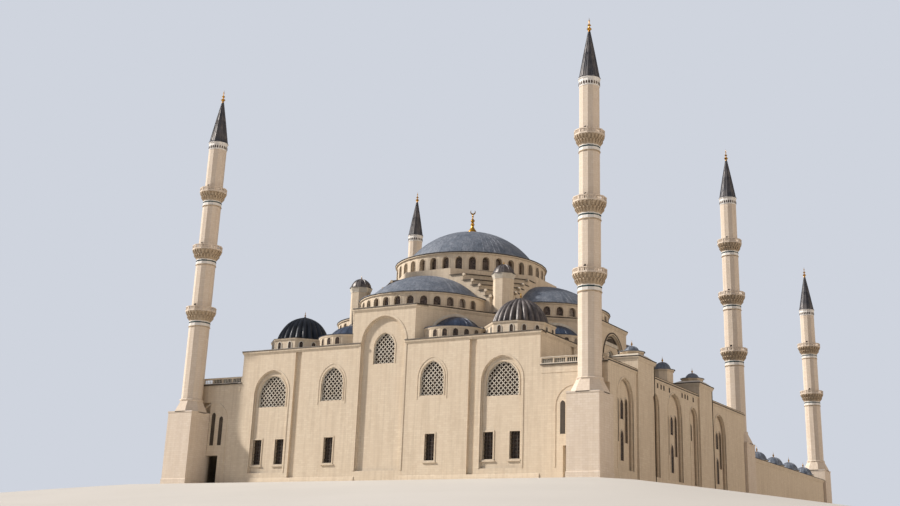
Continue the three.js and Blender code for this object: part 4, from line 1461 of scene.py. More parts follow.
@dataclass
class CornerDome:
    """A ribbed dome on an eight-sided drum, on one corner of the hall."""

    corner: str
    turns: int
    at: float = 31.8
    drum: float = 8.3
    low: float = 33.2
    drum_top: float = 36.5
    foot: float = 6.9
    crown: float = 43.2
    lobes: int = 24

    def place(self) -> Matrix:
        """Returns the move from the origin to this corner."""
        return turn(90 * self.turns) @ shift(self.at, -self.at)

    def lobed(self) -> Shape:
        """Builds the ribbed dome.

        Returns:
            The dome, folded into round lobes that meet in sharp grooves.
        """
        # Corners across each lobe, and courses from the foot to the crown
        across, courses = 8, 18
        # How deep the grooves are, how much the sides bend in and how the crown is drawn to a point
        groove, bend, narrowing, lift = 0.11, 0.05, 0.8, 0.9
        arc = cap_arc(self.foot + 0.05, self.drum_top + 0.25, self.crown, courses)
        corners: list[Point] = [(0.0, 0.0, self.drum_top + 0.05)]
        rings: list[list[int]] = []
        count = self.lobes * across
        for k, (radius, z) in enumerate([(self.foot + 0.05, self.drum_top + 0.05), *arc[:-1]]):
            point = max(0.0, (k - courses * 0.8) / courses)
            lean = 1 - bend * math.sin(math.pi * k / courses)
            first = len(corners)
            for i in range(count):
                swell = abs(math.sin(math.pi * i / across))
                reach = radius * (1 - groove * (1 - swell)) * (1 - narrowing * point) * lean
                angle = FULL * i / count
                corners.append((reach * math.cos(angle), reach * math.sin(angle), z + lift * point))
            rings.append(list(range(first, first + count)))
        corners.append((0.0, 0.0, self.crown + 0.45))
        crown = len(corners) - 1
        faces: list[tuple[int, ...]] = []
        for i in range(count):
            j = (i + 1) % count
            faces.append((0, rings[0][j], rings[0][i]))
            faces.append((crown, rings[-1][i], rings[-1][j]))
            faces += [(low[i], low[j], high[j], high[i]) for low, high in zip(rings, rings[1:])]
        return Shape(corners, faces)

    def apron(self) -> Shape:
        """Builds the lead apron.

        Returns:
            The apron between the drum's cornice and the dome.
        """
        eave, head = self.drum + 0.34, self.foot + 0.25
        line = [(0.0, 0.01), (eave, 0.01), (eave, 0.12), (head, 0.34), (0.0, 0.34)]
        return eight_sided(set_off(line, 0.0, self.drum_top))

    def windows(self) -> tuple[Shape, Shape]:
        """Builds two windows on each side.

        Returns:
            The frames and the glass.
        """
        face = -self.drum * math.cos(math.pi / 8)
        frames, panes = Shape(), Shape()
        for across in (-1.6, 1.6):
            sill = 34.0
            window = Arch(across, 0.45, sill, 35.15, 35.7)
            frames.join(window.band(0.0, 0.2, face - 0.13, face + 0.1, 5))
            frames.join(block((across - 0.75, face - 0.17, sill - 0.2), (across + 0.75, face + 0.1, sill)))
            panes.join(window.pane(face - 0.03, face + 0.1))
        return ring(frames, Surface.MARBLE, 8, 45.0), ring(panes, Surface.GLASS, 8, 45.0)

    def cornice(self) -> Shape:
        """Builds the drum's courses.

        Returns:
            The cornice and the base course.
        """
        top = [(-0.2, -0.52), (0.06, -0.52), (0.28, -0.25), (0.32, 0.0), (-0.2, 0.0)]
        foot = [(-0.2, 0.01), (0.16, 0.01), (0.16, 0.3), (-0.2, 0.4)]
        return gathered(
            eight_sided(set_off(section, self.drum, height))
            for section, height in ((top, self.drum_top), (foot, self.low))
        )

    def finial(self) -> Shape:
        """Turns the small gilt finial.

        Returns:
            The finial.
        """
        profile = [
            (0.0, 0.0), (0.22, 0.0), (0.1, 0.2), (0.24, 0.42), (0.08, 0.62), (0.06, 0.8), (0.15, 0.92),
            (0.05, 1.05), (0.0, 1.6),
        ]
        return turned(set_off(profile, 0.0, self.crown + 0.35), 12)

    def dress(self) -> None:
        """Makes the corner's pieces."""
        at, stem = self.place(), f"corner_dome_{self.corner}"
        frames, panes = self.windows()
        # Right-hand domes get the paler lead and left-hand ones the dark lead: painted light and painted
        # shade on domes that are alike.
        lead = Surface.RIBBED_LEAD if self.corner.endswith("right") else Surface.DARK_LEAD
        piece(f"{stem}_lobes", self.lobed().moved(at), lead, [f"ribbed_dome_{self.corner}"], 40)
        piece(f"{stem}_apron", self.apron().moved(at), Surface.LEAD_EDGE_AND_PAINTED_SHADE)
        piece(f"{stem}_frames", frames.moved(at), Surface.MARBLE)
        piece(f"{stem}_windows", panes.moved(at), Surface.GLASS)
        piece(f"{stem}_cornice", self.cornice().moved(at), Surface.ASHLAR)
        piece(f"{stem}_finial", self.finial().moved(at), Surface.GILT)


@dataclass(frozen=True)
class SmallDome:
    """A lead dome on a low drum, with rolls over its seams and a small gilt finial."""

    x: float
    y: float
    ledge: float
    low: float
    foot: float
    crown: float
    seams: int = 12

    def sheets(self) -> Shape:
        """Builds the lead of the dome.

        Returns:
            The skin and the rolls of its seams.
        """
        line = [
            (self.ledge + 0.12, self.low + 0.12),
            (self.foot + 0.3, self.low + 0.26),
            *cap_arc(self.foot + 0.15, self.low + 0.26, self.crown + 0.16, 10),
        ]
        under = [(0.0, self.low + 0.01), (self.ledge + 0.12, self.low + 0.01)]
        body = turned([*under, *line], 4 * self.seams)
        size = 0.05 + 0.02 * self.foot
        rolls = ring(roll(line[:-1], size, size / 2), Surface.LEAD, self.seams, 360 / self.seams)
        return body.join(rolls).moved(shift(self.x, self.y))

    def finial(self) -> Shape:
        """Turns the finial.

        Returns:
            A foot, a ball and a spike.
        """
        z, size = self.crown + 0.12, 0.4 + 0.09 * self.foot
        profile = [
            (0.0, 0.0), (0.45, 0.0), (0.2, 0.35), (0.4, 0.75), (0.45, 0.95), (0.3, 1.2), (0.12, 1.35),
            (0.22, 1.6), (0.08, 1.8), (0.0, 2.9),
        ]
        grown = [(size * radius, z + size * height) for radius, height in profile]
        return turned(grown, 12).moved(shift(self.x, self.y))


def dress_domes(stem: str, domes: Sequence[SmallDome]) -> None:
    """Makes the lead and the finials of a group of small domes.

    Args:
        stem: start of the pieces' names.
        domes: the domes.
    """
    piece(f"{stem}_lead", gathered(dome.sheets() for dome in domes), Surface.LEAD)
    piece(f"{stem}_finials", gathered(dome.finial() for dome in domes), Surface.GILT)


def lattice(window: Arch, near: float, pitch: float = 1.16) -> Shape:
    """Fills a window with slanting bars that cross.

    Args:
        window: the opening.
        near: Y of the bars' middle.
        pitch: distance between bars along the sill.

    Returns:
        The bars.
    """
    ends = [
        ((x0, near, z0), (x1, near, z1))
        for lean in (1, -1)
        for (x0, z0), (x1, z1) in window.diagonals(pitch, lean)
    ]
    return bars(ends, Surface.MARBLE, 0.17, 0.16)


def grid(window: Arch, near: float, columns: int, rows: int) -> Shape:
    """Fills a square-headed window with upright and level bars.

    Args:
        window: the opening, whose spring is its top.
        near: Y of the bars' middle.
        columns: number of lights across.
        rows: number of lights up.

    Returns:
        The bars.
    """
    left, right = window.centre - window.half, window.centre + window.half
    low, high = window.sill, window.spring
    upright = [left + (right - left) * i / columns for i in range(1, columns)]
    level = [low + (high - low) * i / rows for i in range(1, rows)]
    ends = [((x, near, low), (x, near, high)) for x in upright]
    ends += [((left, near, z), (right, near, z)) for z in level]
    return bars(ends, Surface.DARK_LEAD, 0.14, 0.12)


@dataclass
class HallWall:
    """What one wall of the hall carries: lattices, arch mouldings, cornices and lead edges."""

    side: str
    turns: int
    half: float = 42.3
    wing_top: float = 33.2
    crown_top: float = 41.86
    crown_half: float = 8.9
    flank_end: Flat = (21.3, 24.4)
    great: Arch = Arch(0.0, 6.3, 3.0, 33.0, 39.6)
    great_deep: float = 0.7
    corner_deep: float = 0.5
    corner_start: float = 27.3
    middle: Arch = Arch(0.0, 3.0, 28.1, 32.0, 35.6)
    inner: Arch = Arch(14.2, 3.2, 19.8, 24.0, 27.9)
    inner_edge: Arch = Arch(14.2, 3.9, 19.0, 24.0, 28.7)
    outer: Arch = Arch(32.6, 4.2, 19.0, 22.4, 26.8)
    recess: Arch = Arch(32.6, 5.3, 3.0, 22.4, 28.1)
    lower_centres: tuple[float, ...] = (-36.0, -29.2, -14.2, 14.2, 29.2, 36.0)
    lower_half: float = 1.3
    lower_sill: float = 5.0
    lower_head: float = 11.0

    def windows(self) -> list[tuple[Arch, float]]:
        """Lists the lattice windows.

        Returns:
            Each window with the Y of the wall's face round it.
        """
        found = [(self.middle, self.great_deep - self.half)]
        for sign in (-1, 1):
            found.append((self.inner.on(sign), -self.half))
            found.append((self.outer.on(sign), self.corner_deep - self.half))
        return found

    def lattices(self) -> Shape:
        """Builds the lattices.

        Returns:
            The bars and their frames.
        """
        parts = Shape()
        for window, face in self.windows():
            parts.join(lattice(window, face + 0.42))
            parts.join(window.band(-0.22, 0.24, face + 0.2, face + 0.62))
        return parts

    def glass(self) -> Shape:
        """Builds the dark glass.

        Returns:
            The panes behind the lattices and in the lower windows.
        """
        parts = gathered(window.pane(face + 0.9, face + 1.05, 0.05) for window, face in self.windows())
        wide, sill, head = self.lower_half, self.lower_sill, self.lower_head
        for x, plane in self.lower_windows():
            parts.join(block((x - wide, plane + 0.75, sill), (x + wide, plane + 0.9, head)))
        return parts

    def lower_windows(self) -> list[Flat]:
        """Lists the lower windows, which the side walls don't have.

        Returns:
            Centre of each window and Y of the wall round it.
        """
        if self.turns % 2:
            return []
        deep = [self.corner_deep if abs(x) > self.corner_start else 0.0 for x in self.lower_centres]
        return [(x, depth - self.half) for x, depth in zip(self.lower_centres, deep)]

    def mouldings(self) -> Shape:
        """Builds the carved stone of the wall.

        Returns:
            Edges of arches and windows, and courses under the cornices.
        """
        face = -self.half
        parts = self.great.band(0.0, 0.5, face - 0.12, face + 0.1, 12)
        parts.join(self.great.band(-0.3, 0.3, face + 0.4, face + 0.75, 12))
        for window, plane in self.windows():
            parts.join(window.band(0.0, 0.3, plane - 0.1, plane + 0.1))
        for sign in (-1, 1):
            recess = self.recess.on(sign)
            parts.join(recess.band(0.0, 0.32, face - 0.1, face + 0.1, 10))
            parts.join(recess.band(-0.3, 0.3, face + 0.2, face + 0.4, 10))
            parts.join(self.inner_edge.on(sign).band(0.0, 0.2, face - 0.08, face + 0.1, 10))
        wide, sill, head = self.lower_half, self.lower_sill, self.lower_head
        for x, plane in self.lower_windows():
            opening = [(x + wide, sill), (x + wide, head), (x - wide, head), (x - wide, sill)]
            grown = [(x + 1.6, 4.7), (x + 1.6, 11.35), (x - 1.6, 11.35), (x - 1.6, 4.7)]
            parts.join(ribbon([*grown, grown[0]], [*opening, opening[0]], plane - 0.12, plane + 0.2))
            parts.join(block((x - 1.8, plane - 0.3, 4.45), (x + 1.8, plane + 0.1, 4.75)))
        course = [(-0.1, -0.95), (0.07, -0.95), (0.1, -0.75), (0.34, -0.44), (-0.1, -0.44)]
        parts.join(moulding(self.wing_line(), set_off(course, 0.0, self.wing_top)))
        base = [(-0.1, 0.0), (0.16, 0.0), (0.16, 1.5), (0.04, 1.75), (-0.1, 1.75)]
        gap = self.great.half + 0.1
        parts.join(moulding([(gap, face), (self.half, face)], base))
        parts.join(moulding([(-self.half, face), (-gap, face)], base))
        crown = [(-0.1, -0.96), (0.07, -0.96), (0.12, -0.76), (0.34, -0.44), (-0.1, -0.44)]
        return parts.join(moulding(self.crown_line(), set_off(crown, 0.0, self.crown_top)))

    def wing_line(self) -> list[Flat]:
        """Returns the wall line that turns the corner from this wall to the next."""
        near = self.great.half + 0.02
        return [(near, -self.half), (self.half, -self.half), (self.half, -near)]

    def crown_line(self) -> list[Flat]:
        """Returns the line round the raised block and its flanks."""
        x, y = self.flank_end
        return [(-x, -y), (-self.crown_half, -self.half), (self.crown_half, -self.half), (x, -y)]

    def lead_edges(self) -> Shape:
        """Builds the dark lead edges, which are also the painted shadow lines under the cornices.

        Returns:
            The lead that covers the cornices.
        """
        edge = [(-0.5, 0.01), (0.4, -0.1), (0.5, -0.02), (0.42, 0.14), (-0.5, 0.22)]
        low = moulding(self.wing_line(), set_off(edge, 0.0, self.wing_top))
        return low.join(moulding(self.crown_line(), set_off(edge, 0.0, self.crown_top)))

    def tympanum(self) -> tuple[Shape, Shape]:
        """Fills the head of a side wall's great arch.

        Returns:
            The lead lunette, a dark sheet that is painted shade in the arch head, the edges, dark lines that
            are painted shadows of the arch's mouldings, and the pale stone band below.
        """
        face = self.great_deep - self.half
        sill = 37.6
        head = [(x, z) for x, z in self.great.line(-0.9, 12) if z > sill]
        # Dark lead sheet in the arch head: painted shade.
        lunette = panel([(-head[0][0], sill), (head[0][0], sill), *head][::-1], face - 0.12, face + 0.1)
        # Dark lines along the arch: painted shadows of its mouldings.
        edge = self.great.band(0.2, 0.34, -self.half - 0.2, -self.half - 0.05, 12)
        edge.join(self.great.band(-0.75, 0.34, face - 0.14, face + 0.1, 12))
        band = block((-4.9, face - 0.18, sill - 1.0), (4.9, face + 0.1, sill - 0.1))
        return lunette.join(edge), band

    def dress(self) -> None:
        """Makes the pieces of the wall."""
        at, stem = turn(90 * self.turns), f"{self.side}_wall"
        lattices, grids = self.lattices(), Shape()
        for x, plane in self.lower_windows():
            opening = Arch(x, self.lower_half, self.lower_sill, self.lower_head, self.lower_head)
            grids.join(grid(opening, plane + 0.5, 3, 7))
        stone, lead = self.mouldings(), self.lead_edges()
        if self.turns % 2:
            lunette, band = self.tympanum()
            lead.join(lunette)
            lattices.join(band)
        else:
            lead.join(grids)
        piece(f"{stem}_lattices", lattices.moved(at), Surface.MARBLE)
        piece(f"{stem}_glass", self.glass().moved(at), Surface.GLASS)
        piece(f"{stem}_mouldings", stone.moved(at), Surface.ASHLAR)
        piece(f"{stem}_lead_edges", lead.moved(at), Surface.LEAD_EDGE_AND_PAINTED_SHADE)


@dataclass
class Turret:
    """Head of a great pier: a flared cornice under a ribbed lead cap."""

    corner: str
    turns: int
    at: float = 21.6
    radius: float = 2.63
    low: float = 51.1
    top: float = 52.42
    crown: float = 55.0

    def dress(self) -> None:
        """Makes the turret's pieces."""
        at, stem = turn(90 * self.turns) @ shift(self.at, -self.at), f"turret_{self.corner}"
        flare = [
            (-0.3, self.low), (0.06, self.low), (0.1, self.low + 0.3), (0.36, self.top - 0.5),
            (0.42, self.top), (-0.3, self.top),
        ]
        cornice = eight_sided(set_off(flare, self.radius))
        foot = [(-0.3, 42.0), (0.2, 42.0), (0.05, 42.5), (-0.3, 42.5)]
        ring_low = eight_sided(set_off(foot, self.radius))
        eave = self.radius + 0.42
        line = [(eave, self.top + 0.08), *cap_arc(self.radius + 0.04, self.top + 0.2, self.crown, 10)]
        cap = turned([(0.0, self.top - 0.02), (eave, self.top - 0.02), *line], 32)
        rolls = ring(roll(line[:-1], 0.3, 0.1), Surface.RIBBED_LEAD, 12, 30.0)
        piece(f"{stem}_cornice", cornice.moved(at), Surface.MARBLE, (), 20)
        piece(f"{stem}_cap", gathered([cap, rolls, ring_low]).moved(at), Surface.RIBBED_LEAD)
        top = SmallDome(0.0, 0.0, 0.0, 0.0, 0.2, self.crown - 0.15)
        piece(f"{stem}_finial", top.finial().moved(at), Surface.GILT)


@dataclass
class Exedra:
    """Small half-dome on a windowed drum, seated against a diagonal flank of the hall."""

    side: str
    turns: int
    hand: int
    along: float = 11.0
    drum: float = 8.4
    drum_top: float = 36.2
    foot: float = 6.0
    crown: float = 39.6
    step: float = 18.0

    def place(self) -> Matrix:
        """Finds the place on the diagonal flank.

        Returns:
            The move from the origin to this half-dome.
        """
        wall = HallWall(self.side, self.turns)
        run, fall = wall.flank_end[0] - wall.crown_half, wall.half - wall.flank_end[1]
        length = math.hypot(run, fall)
        x, y = wall.crown_half + run * self.along / length, fall * self.along / length - wall.half
        heading = math.degrees(math.atan2(fall, run))
        return turn(90 * self.turns) @ shift(self.hand * x, y) @ turn(self.hand * heading)

    def lead(self) -> Shape:
        """Builds the lead of the half-dome.

        Returns:
            The skin with its apron and its rolls.
        """
        line = [
            (self.drum + 0.3, self.drum_top + 0.02),
            (self.foot + 0.4, self.drum_top + 0.2),
            *cap_arc(self.foot + 0.08, self.drum_top + 0.26, self.crown + 0.08, 14),
        ]
        under = [(0.0, self.drum_top - 0.14), (self.drum + 0.26, self.drum_top - 0.14)]
        body = turned([*under, *line], 40, half=True)
        rolls = ring(roll(line[:-2], 0.13, 0.06), Surface.LEAD, 9, self.step, -4 * self.step)
        return body.join(rolls)

    def windows(self) -> tuple[Shape, Shape]:
        """Builds the drum's eight windows.

        Returns:
            The frames and the glass.
        """
        face = -self.drum * math.cos(math.radians(self.step / 2))
        sill = 33.7
        window = Arch(0.0, 0.6, sill, 34.88, 35.48)
        surround = window.band(0.0, 0.14, face - 0.1, face + 0.1, 5)
        surround.join(block((-0.8, face - 0.14, sill - 0.2), (0.8, face + 0.1, sill)))
        frames = ring(surround, Surface.ASHLAR, 8, self.step, -3.5 * self.step)
        panes = ring(window.pane(face - 0.03, face + 0.1), Surface.GLASS, 8, self.step, -3.5 * self.step)
        return frames, panes

    def arch_band(self) -> Shape:
        """Builds the arch on the flank wall.

        Returns:
            The low arch that frames the half-dome.
        """
        def line(grow: float) -> list[Flat]:
            """Returns the line of the arch, moved outwards."""
            arc = cap_arc(self.foot + grow, self.drum_top + 0.3, self.crown + grow, 12)
            return [*arc, *[(-x, z) for x, z in reversed(arc[:-1])]]

        return ribbon(line(0.95), line(0.3), -0.18, 0.1)

    def dress(self) -> None:
        """Makes the half-dome's pieces."""
        word = "right" if self.hand > 0 else "left"
        at, stem = self.place(), f"small_half_dome_{self.side}_{word}"
        frames, panes = self.windows()
        section = [(-0.2, 35.6), (0.05, 35.6), (0.22, 36.06), (-0.2, 36.06)]
        cornice = turned(set_off(section, self.drum), 20, half=True)
        piece(f"{stem}_lead", self.lead().moved(at), Surface.BLUE_LEAD)
        piece(f"{stem}_stone", frames.join(cornice).moved(at), Surface.ASHLAR)
        piece(f"{stem}_arch", self.arch_band().moved(at), Surface.MARBLE)
        piece(f"{stem}_windows", panes.moved(at), Surface.GLASS)


@dataclass
class SteppedBase:
    """Dark lead treads on the steps below the main drum, which are also painted shadow lines under the steps,
    with a stone scroll at each end.
    """

    half: float = 23.0
    tops: tuple[float, ...] = (47.0, 48.6, 50.1, 51.6, 53.3)
    reaches: tuple[float, ...] = (18.5, 17.1, 15.3, 13.2, 10.6, 6.8)
    over: float = 0.3

    def caps(self) -> tuple[Shape, Shape]:
        """Builds the steps of one corner.

        Returns:
            The lead treads and the stone scrolls.
        """
        treads, scrolls = Shape(), Shape()
        edge = self.half + self.over
        mirror = Matrix(((0, -1, 0, 0), (-1, 0, 0, 0), (0, 0, 1, 0), (0, 0, 0, 1)))
        for top, low, high in zip(self.tops, self.reaches, self.reaches[1:]):
            tip, inner = low + self.over, high - 0.25
            outline = [(tip, -edge), (edge, -tip), (edge, -inner), (inner, -edge)]
            # Dark lead tread, which is also the painted shadow under the step's edge.
            treads.join(prism(outline, top + 0.01, top + 0.14))
            scroll = panel(set_off(circle(0.4, 12), tip, top - 0.12), -edge - 0.06, -edge + 1.2)
            scrolls.join(scroll, scroll.moved(mirror))
        return treads, scrolls

    def dress(self) -> None:
        """Makes the treads and scrolls of all four corners."""
        treads, scrolls = self.caps()
        piece("stepped_base_treads", ring(treads, Surface.LEAD_EDGE_AND_PAINTED_SHADE, 4, 90.0), Surface.LEAD_EDGE_AND_PAINTED_SHADE)
        piece("stepped_base_scrolls", ring(scrolls, Surface.ASHLAR, 4, 90.0), Surface.ASHLAR)


@dataclass
class Gallery:
    """Dressing of a side gallery, drawn with its wall facing -Y and then turned to the right side."""

    sign: int
    face: float = 58.7
    front: float = -42.3
    rear: float = 56.2
    eave: float = 25.42
    parapet: float = 26.1
    pavilions: tuple[Flat, ...] = ((-25.8, -15.2), (16.7, 27.2))
    pavilion_top: float = 29.2
    pavilion_deep: float = 6.2
    pavilion_out: float = 0.5
    arches: tuple[Point, ...] = (
        (-32.5, 4.65, 23.0), (-14.3, 2.8, 22.2), (-0.6, 4.9, 23.9), (13.1, 2.8, 22.2), (34.0, 4.65, 23.0),
    )
    small_windows: tuple[float, ...] = (-12.2, -9.9, -8.0, -4.2, 4.8, 7.0, 8.9, 13.1)

    def place(self) -> Matrix:
        """Returns the turn to the right side, mirrored for the left."""
        return Matrix.Diagonal((self.sign, 1, 1, 1)) @ turn(90)

    def stretches(self) -> list[Flat]:
        """Returns the lengths of wall before, between and after the pavilions."""
        marks = [self.front, *[v for pavilion in self.pavilions for v in pavilion], self.rear]
        return list(zip(marks[::2], marks[1::2]))

    def stone(self) -> Shape:
        """Builds the carved stone of the side wall.

        Returns:
            Arch edges, window frames, courses under the roofs and the pavilions' cornices.
        """
        face, parts = -self.face, Shape()
        for centre, half, apex in self.arches:
            arch = Arch(centre, half, 3.0, apex - 1.04 * half, apex)
            parts.join(arch.band(0.0, 0.34, face - 0.1, face + 0.1, 10))
            parts.join(arch.band(-0.3, 0.3, face + 0.35, face + 0.6, 10))
            for lancet in self.lancets(centre, half, apex):
                parts.join(lancet.band(0.0, 0.2, face + 0.86, face + 1.1, 5))
        for window in self.attic_windows():
            parts.join(window.band(0.0, 0.14, face - 0.07, face + 0.1, 4))
        course = [(-0.1, -0.52), (0.06, -0.52), (0.3, -0.12), (0.34, 0.0), (-0.1, 0.0)]
        for low, high in self.stretches():
            parts.join(moulding([(low, face), (high, face)], set_off(course, 0.0, self.eave)))
        foot = [(-0.1, 0.0), (0.15, 0.0), (0.15, 1.3), (0.03, 1.5), (-0.1, 1.5)]
        for low, high in [(self.front + 0.6, self.pavilions[0][0]), *self.stretches()[1:-1]]:
            parts.join(moulding([(low, face), (high, face)], foot))
        cornice = [(-0.1, 28.1), (0.08, 28.1), (0.12, 28.35), (0.34, 28.76), (-0.1, 28.76)]
        for low, high in self.pavilions:
            out, back_ = face - self.pavilion_out, face + self.pavilion_deep
            square = [(low, back_), (low, out), (high, out), (high, back_)]
            parts.join(moulding(square, cornice, closed=True))
        return parts

    def lancets(self, centre: float, half: float, apex: float) -> list[Arch]:
        """Lists the tall lights inside one arch.

        Args:
            centre: where the arch is along the wall.
            half: half of its width.
            apex: height of its top; not used.

        Returns:
            The light of a narrow arch, or the four of a wide one.
        """
        upper, widest_single = Arch(centre, 0.9, 14.0, 17.0, 18.4), 3.0
        if half < widest_single:
            return [upper]
        side = [Arch(centre + s * 0.56 * half, 0.8, 9.0, 17.6, 18.8) for s in (-1, 1)]
        return [upper, *side, Arch(centre, 0.9, 5.0, 10.2, 11.6)]

    def attic_windows(self) -> list[Arch]:
        """Returns the groups of small pointed windows below the roof."""
        return [Arch(y, 0.45, 23.6, 24.5, 24.75) for y in self.small_windows]

    def glass(self) -> Shape:
        """Builds the dark glass of the side wall.

        Returns:
            The panes.
        """
        face = -self.face
        panes = [w.pane(face + 0.96, face + 1.1) for arch in self.arches for w in self.lancets(*arch)]
        panes += [w.pane(face - 0.02, face + 0.1) for w in self.attic_windows()]
        return gathered(panes)

    def lead_edges(self) -> Shape:
        """Builds the dark lead of the side wall.

        Returns:
            The roof edges, which are also the painted shadow line under the cornice, the parapet's cover and
            a dark upright strip near one end of each pavilion.
        """
        face, parts = -self.face, Shape()
        line = [(-0.1, 0.0), (0.36, 0.0), (0.46, 0.08), (0.4, 0.24), (-0.1, 0.28)]
        top = set_off([(-0.62, 0.01), (0.08, 0.01), (0.08, 0.08), (-0.62, 0.12)], 0.0, self.parapet)
        for low, high in self.stretches():
            # Dark lead on the cornice, which is also the painted shadow line under it.
            parts.join(moulding([(low, face), (high, face)], set_off(line, 0.0, self.eave)))
            parts.join(moulding([(low, face), (high, face)], top))
        edge = [(-0.1, 28.98), (0.36, 28.98), (0.46, 29.06), (0.42, 29.22), (-0.1, 29.26)]
        for low, high in self.pavilions:
            out, back_ = face - self.pavilion_out, face + self.pavilion_deep
            parts.join(moulding([(low, back_), (low, out), (high, out), (high, back_)], edge, closed=True))
            # A dark upright strip near the pavilion's end.
            parts.join(block((high - 0.5, out - 0.14, 0.2), (high - 0.28, out + 0.05, 28.2)))
        return parts

    def pavilion_roofs(self) -> Shape:
        """Builds the pavilions' roofs.

        Returns:
            The pale slopes round the drums.
        """
        parts = Shape()
        for low, high in self.pavilions:
            near, far = -self.face - self.pavilion_out, -self.face + self.pavilion_deep
            middle, depth = (low + high) / 2, (near + far) / 2
            left, right, front, rear = low - 0.2, high + 0.2, near - 0.2, far + 0.2
            foot = [(left, front), (right, front), (right, rear), (left, rear)]
            head = [(middle + sx * 2.9, depth + sy * 2.5) for sx, sy in ((-1, -1), (1, -1), (1, 1), (-1, 1))]
            edges = ((foot, self.pavilion_top + 0.02), (head, 30.1))
            parts.join(swept([[(x, y, z) for x, y in line] for line, z in edges]))
        return parts

    def balusters(self) -> Shape:
        """Builds the front balustrade, which faces -Y as it stands.

        Returns:
            The balusters and their rails.
        """
        face = self.front
        start, end, count = 42.6, 58.6, 32
        post = turned([
            (0.0, 25.6), (0.12, 25.6), (0.12, 25.72), (0.07, 25.8), (0.12, 26.05), (0.07, 26.4),
            (0.12, 26.54), (0.12, 26.66), (0.0, 26.66),
        ], 8)
        step = (end - start) / count
        line = row(post, Surface.MARBLE, count, (step, 0.0, 0.0), (start + step / 2, face + 0.25, 0.0))
        rail = [(-0.55, 26.88), (0.1, 26.88), (0.1, 26.96), (0.0, 27.02), (-0.55, 27.02)]
        lower = [(-0.1, 25.4), (0.16, 25.4), (0.16, 25.62), (-0.1, 25.7)]
        level = [(42.4, face), (self.face, face)]
        return gathered([line, moulding(level, rail), moulding(level, lower)])

    def front_stone(self) -> Shape:
        """Builds the carved stone of the gallery's front wall.

        Returns:
            The band and the blind arch.
        """
        face = self.front
        band = block((42.5, face - 0.08, 23.4), (58.62, face + 0.1, 24.9))
        arch = Arch(50.4, 4.2, 3.0, 16.0, 20.5)
        return gathered([band, arch.band(0.0, 0.36, face - 0.1, face + 0.1, 10)])

    def front_line(self) -> Shape:
        """Builds the dark parts of the gallery's front wall.

        Returns:
            The line under the balustrade, a dark backing behind it that is painted shade between the
            balusters, and the blind lights.
        """
        face = self.front
        line = [(-0.1, 25.16), (0.3, 25.16), (0.42, 25.26), (0.36, 25.4), (-0.1, 25.42)]
        parts = moulding([(42.4, face), (self.face, face)], line)
        # Dark backing behind the balusters: painted shade in the gaps between them.
        parts.join(block((42.4, face + 0.52, 25.38), (51.7, face + 0.62, 26.75)))
        for x, top in ((47.9, 17.2), (50.4, 18.2), (52.9, 17.2)):
            parts.join(Arch(x, 0.6, 10.0, top - 0.8, top).pane(face - 0.03, face + 0.1))
        return parts

    def dress(self) -> None:
        """Makes the gallery's pieces."""
        hand = "right" if self.sign > 0 else "left"
        at, stem = self.place(), f"gallery_{hand}"
        mirror = Matrix.Diagonal((self.sign, 1, 1, 1))
        piece(f"{stem}_stone", self.stone().moved(at), Surface.ASHLAR)
        piece(f"{stem}_glass", self.glass().moved(at), Surface.GLASS)
        edges = self.lead_edges().moved(at).join(self.front_line().moved(mirror))
        piece(f"{stem}_lead_edges", edges, Surface.LEAD_EDGE_AND_PAINTED_SHADE)
        piece(f"{stem}_pavilion_roofs", self.pavilion_roofs().moved(at), Surface.MARBLE, (), 10)
        piece(f"{stem}_balustrade", self.balusters().moved(mirror), Surface.MARBLE)
        piece(f"{stem}_front_stone", self.front_stone().moved(mirror), Surface.ASHLAR)
        x = self.sign * (self.face - self.pavilion_deep / 2)
        domes = [SmallDome(x, (low + high) / 2, 3.05, 30.8, 1.7, 32.25) for low, high in self.pavilions]
        domes.append(SmallDome(self.sign * 55.4, 0.3, 3.05, 29.8, 1.95, 31.75))
        dress_domes(f"{stem}_domes", domes)


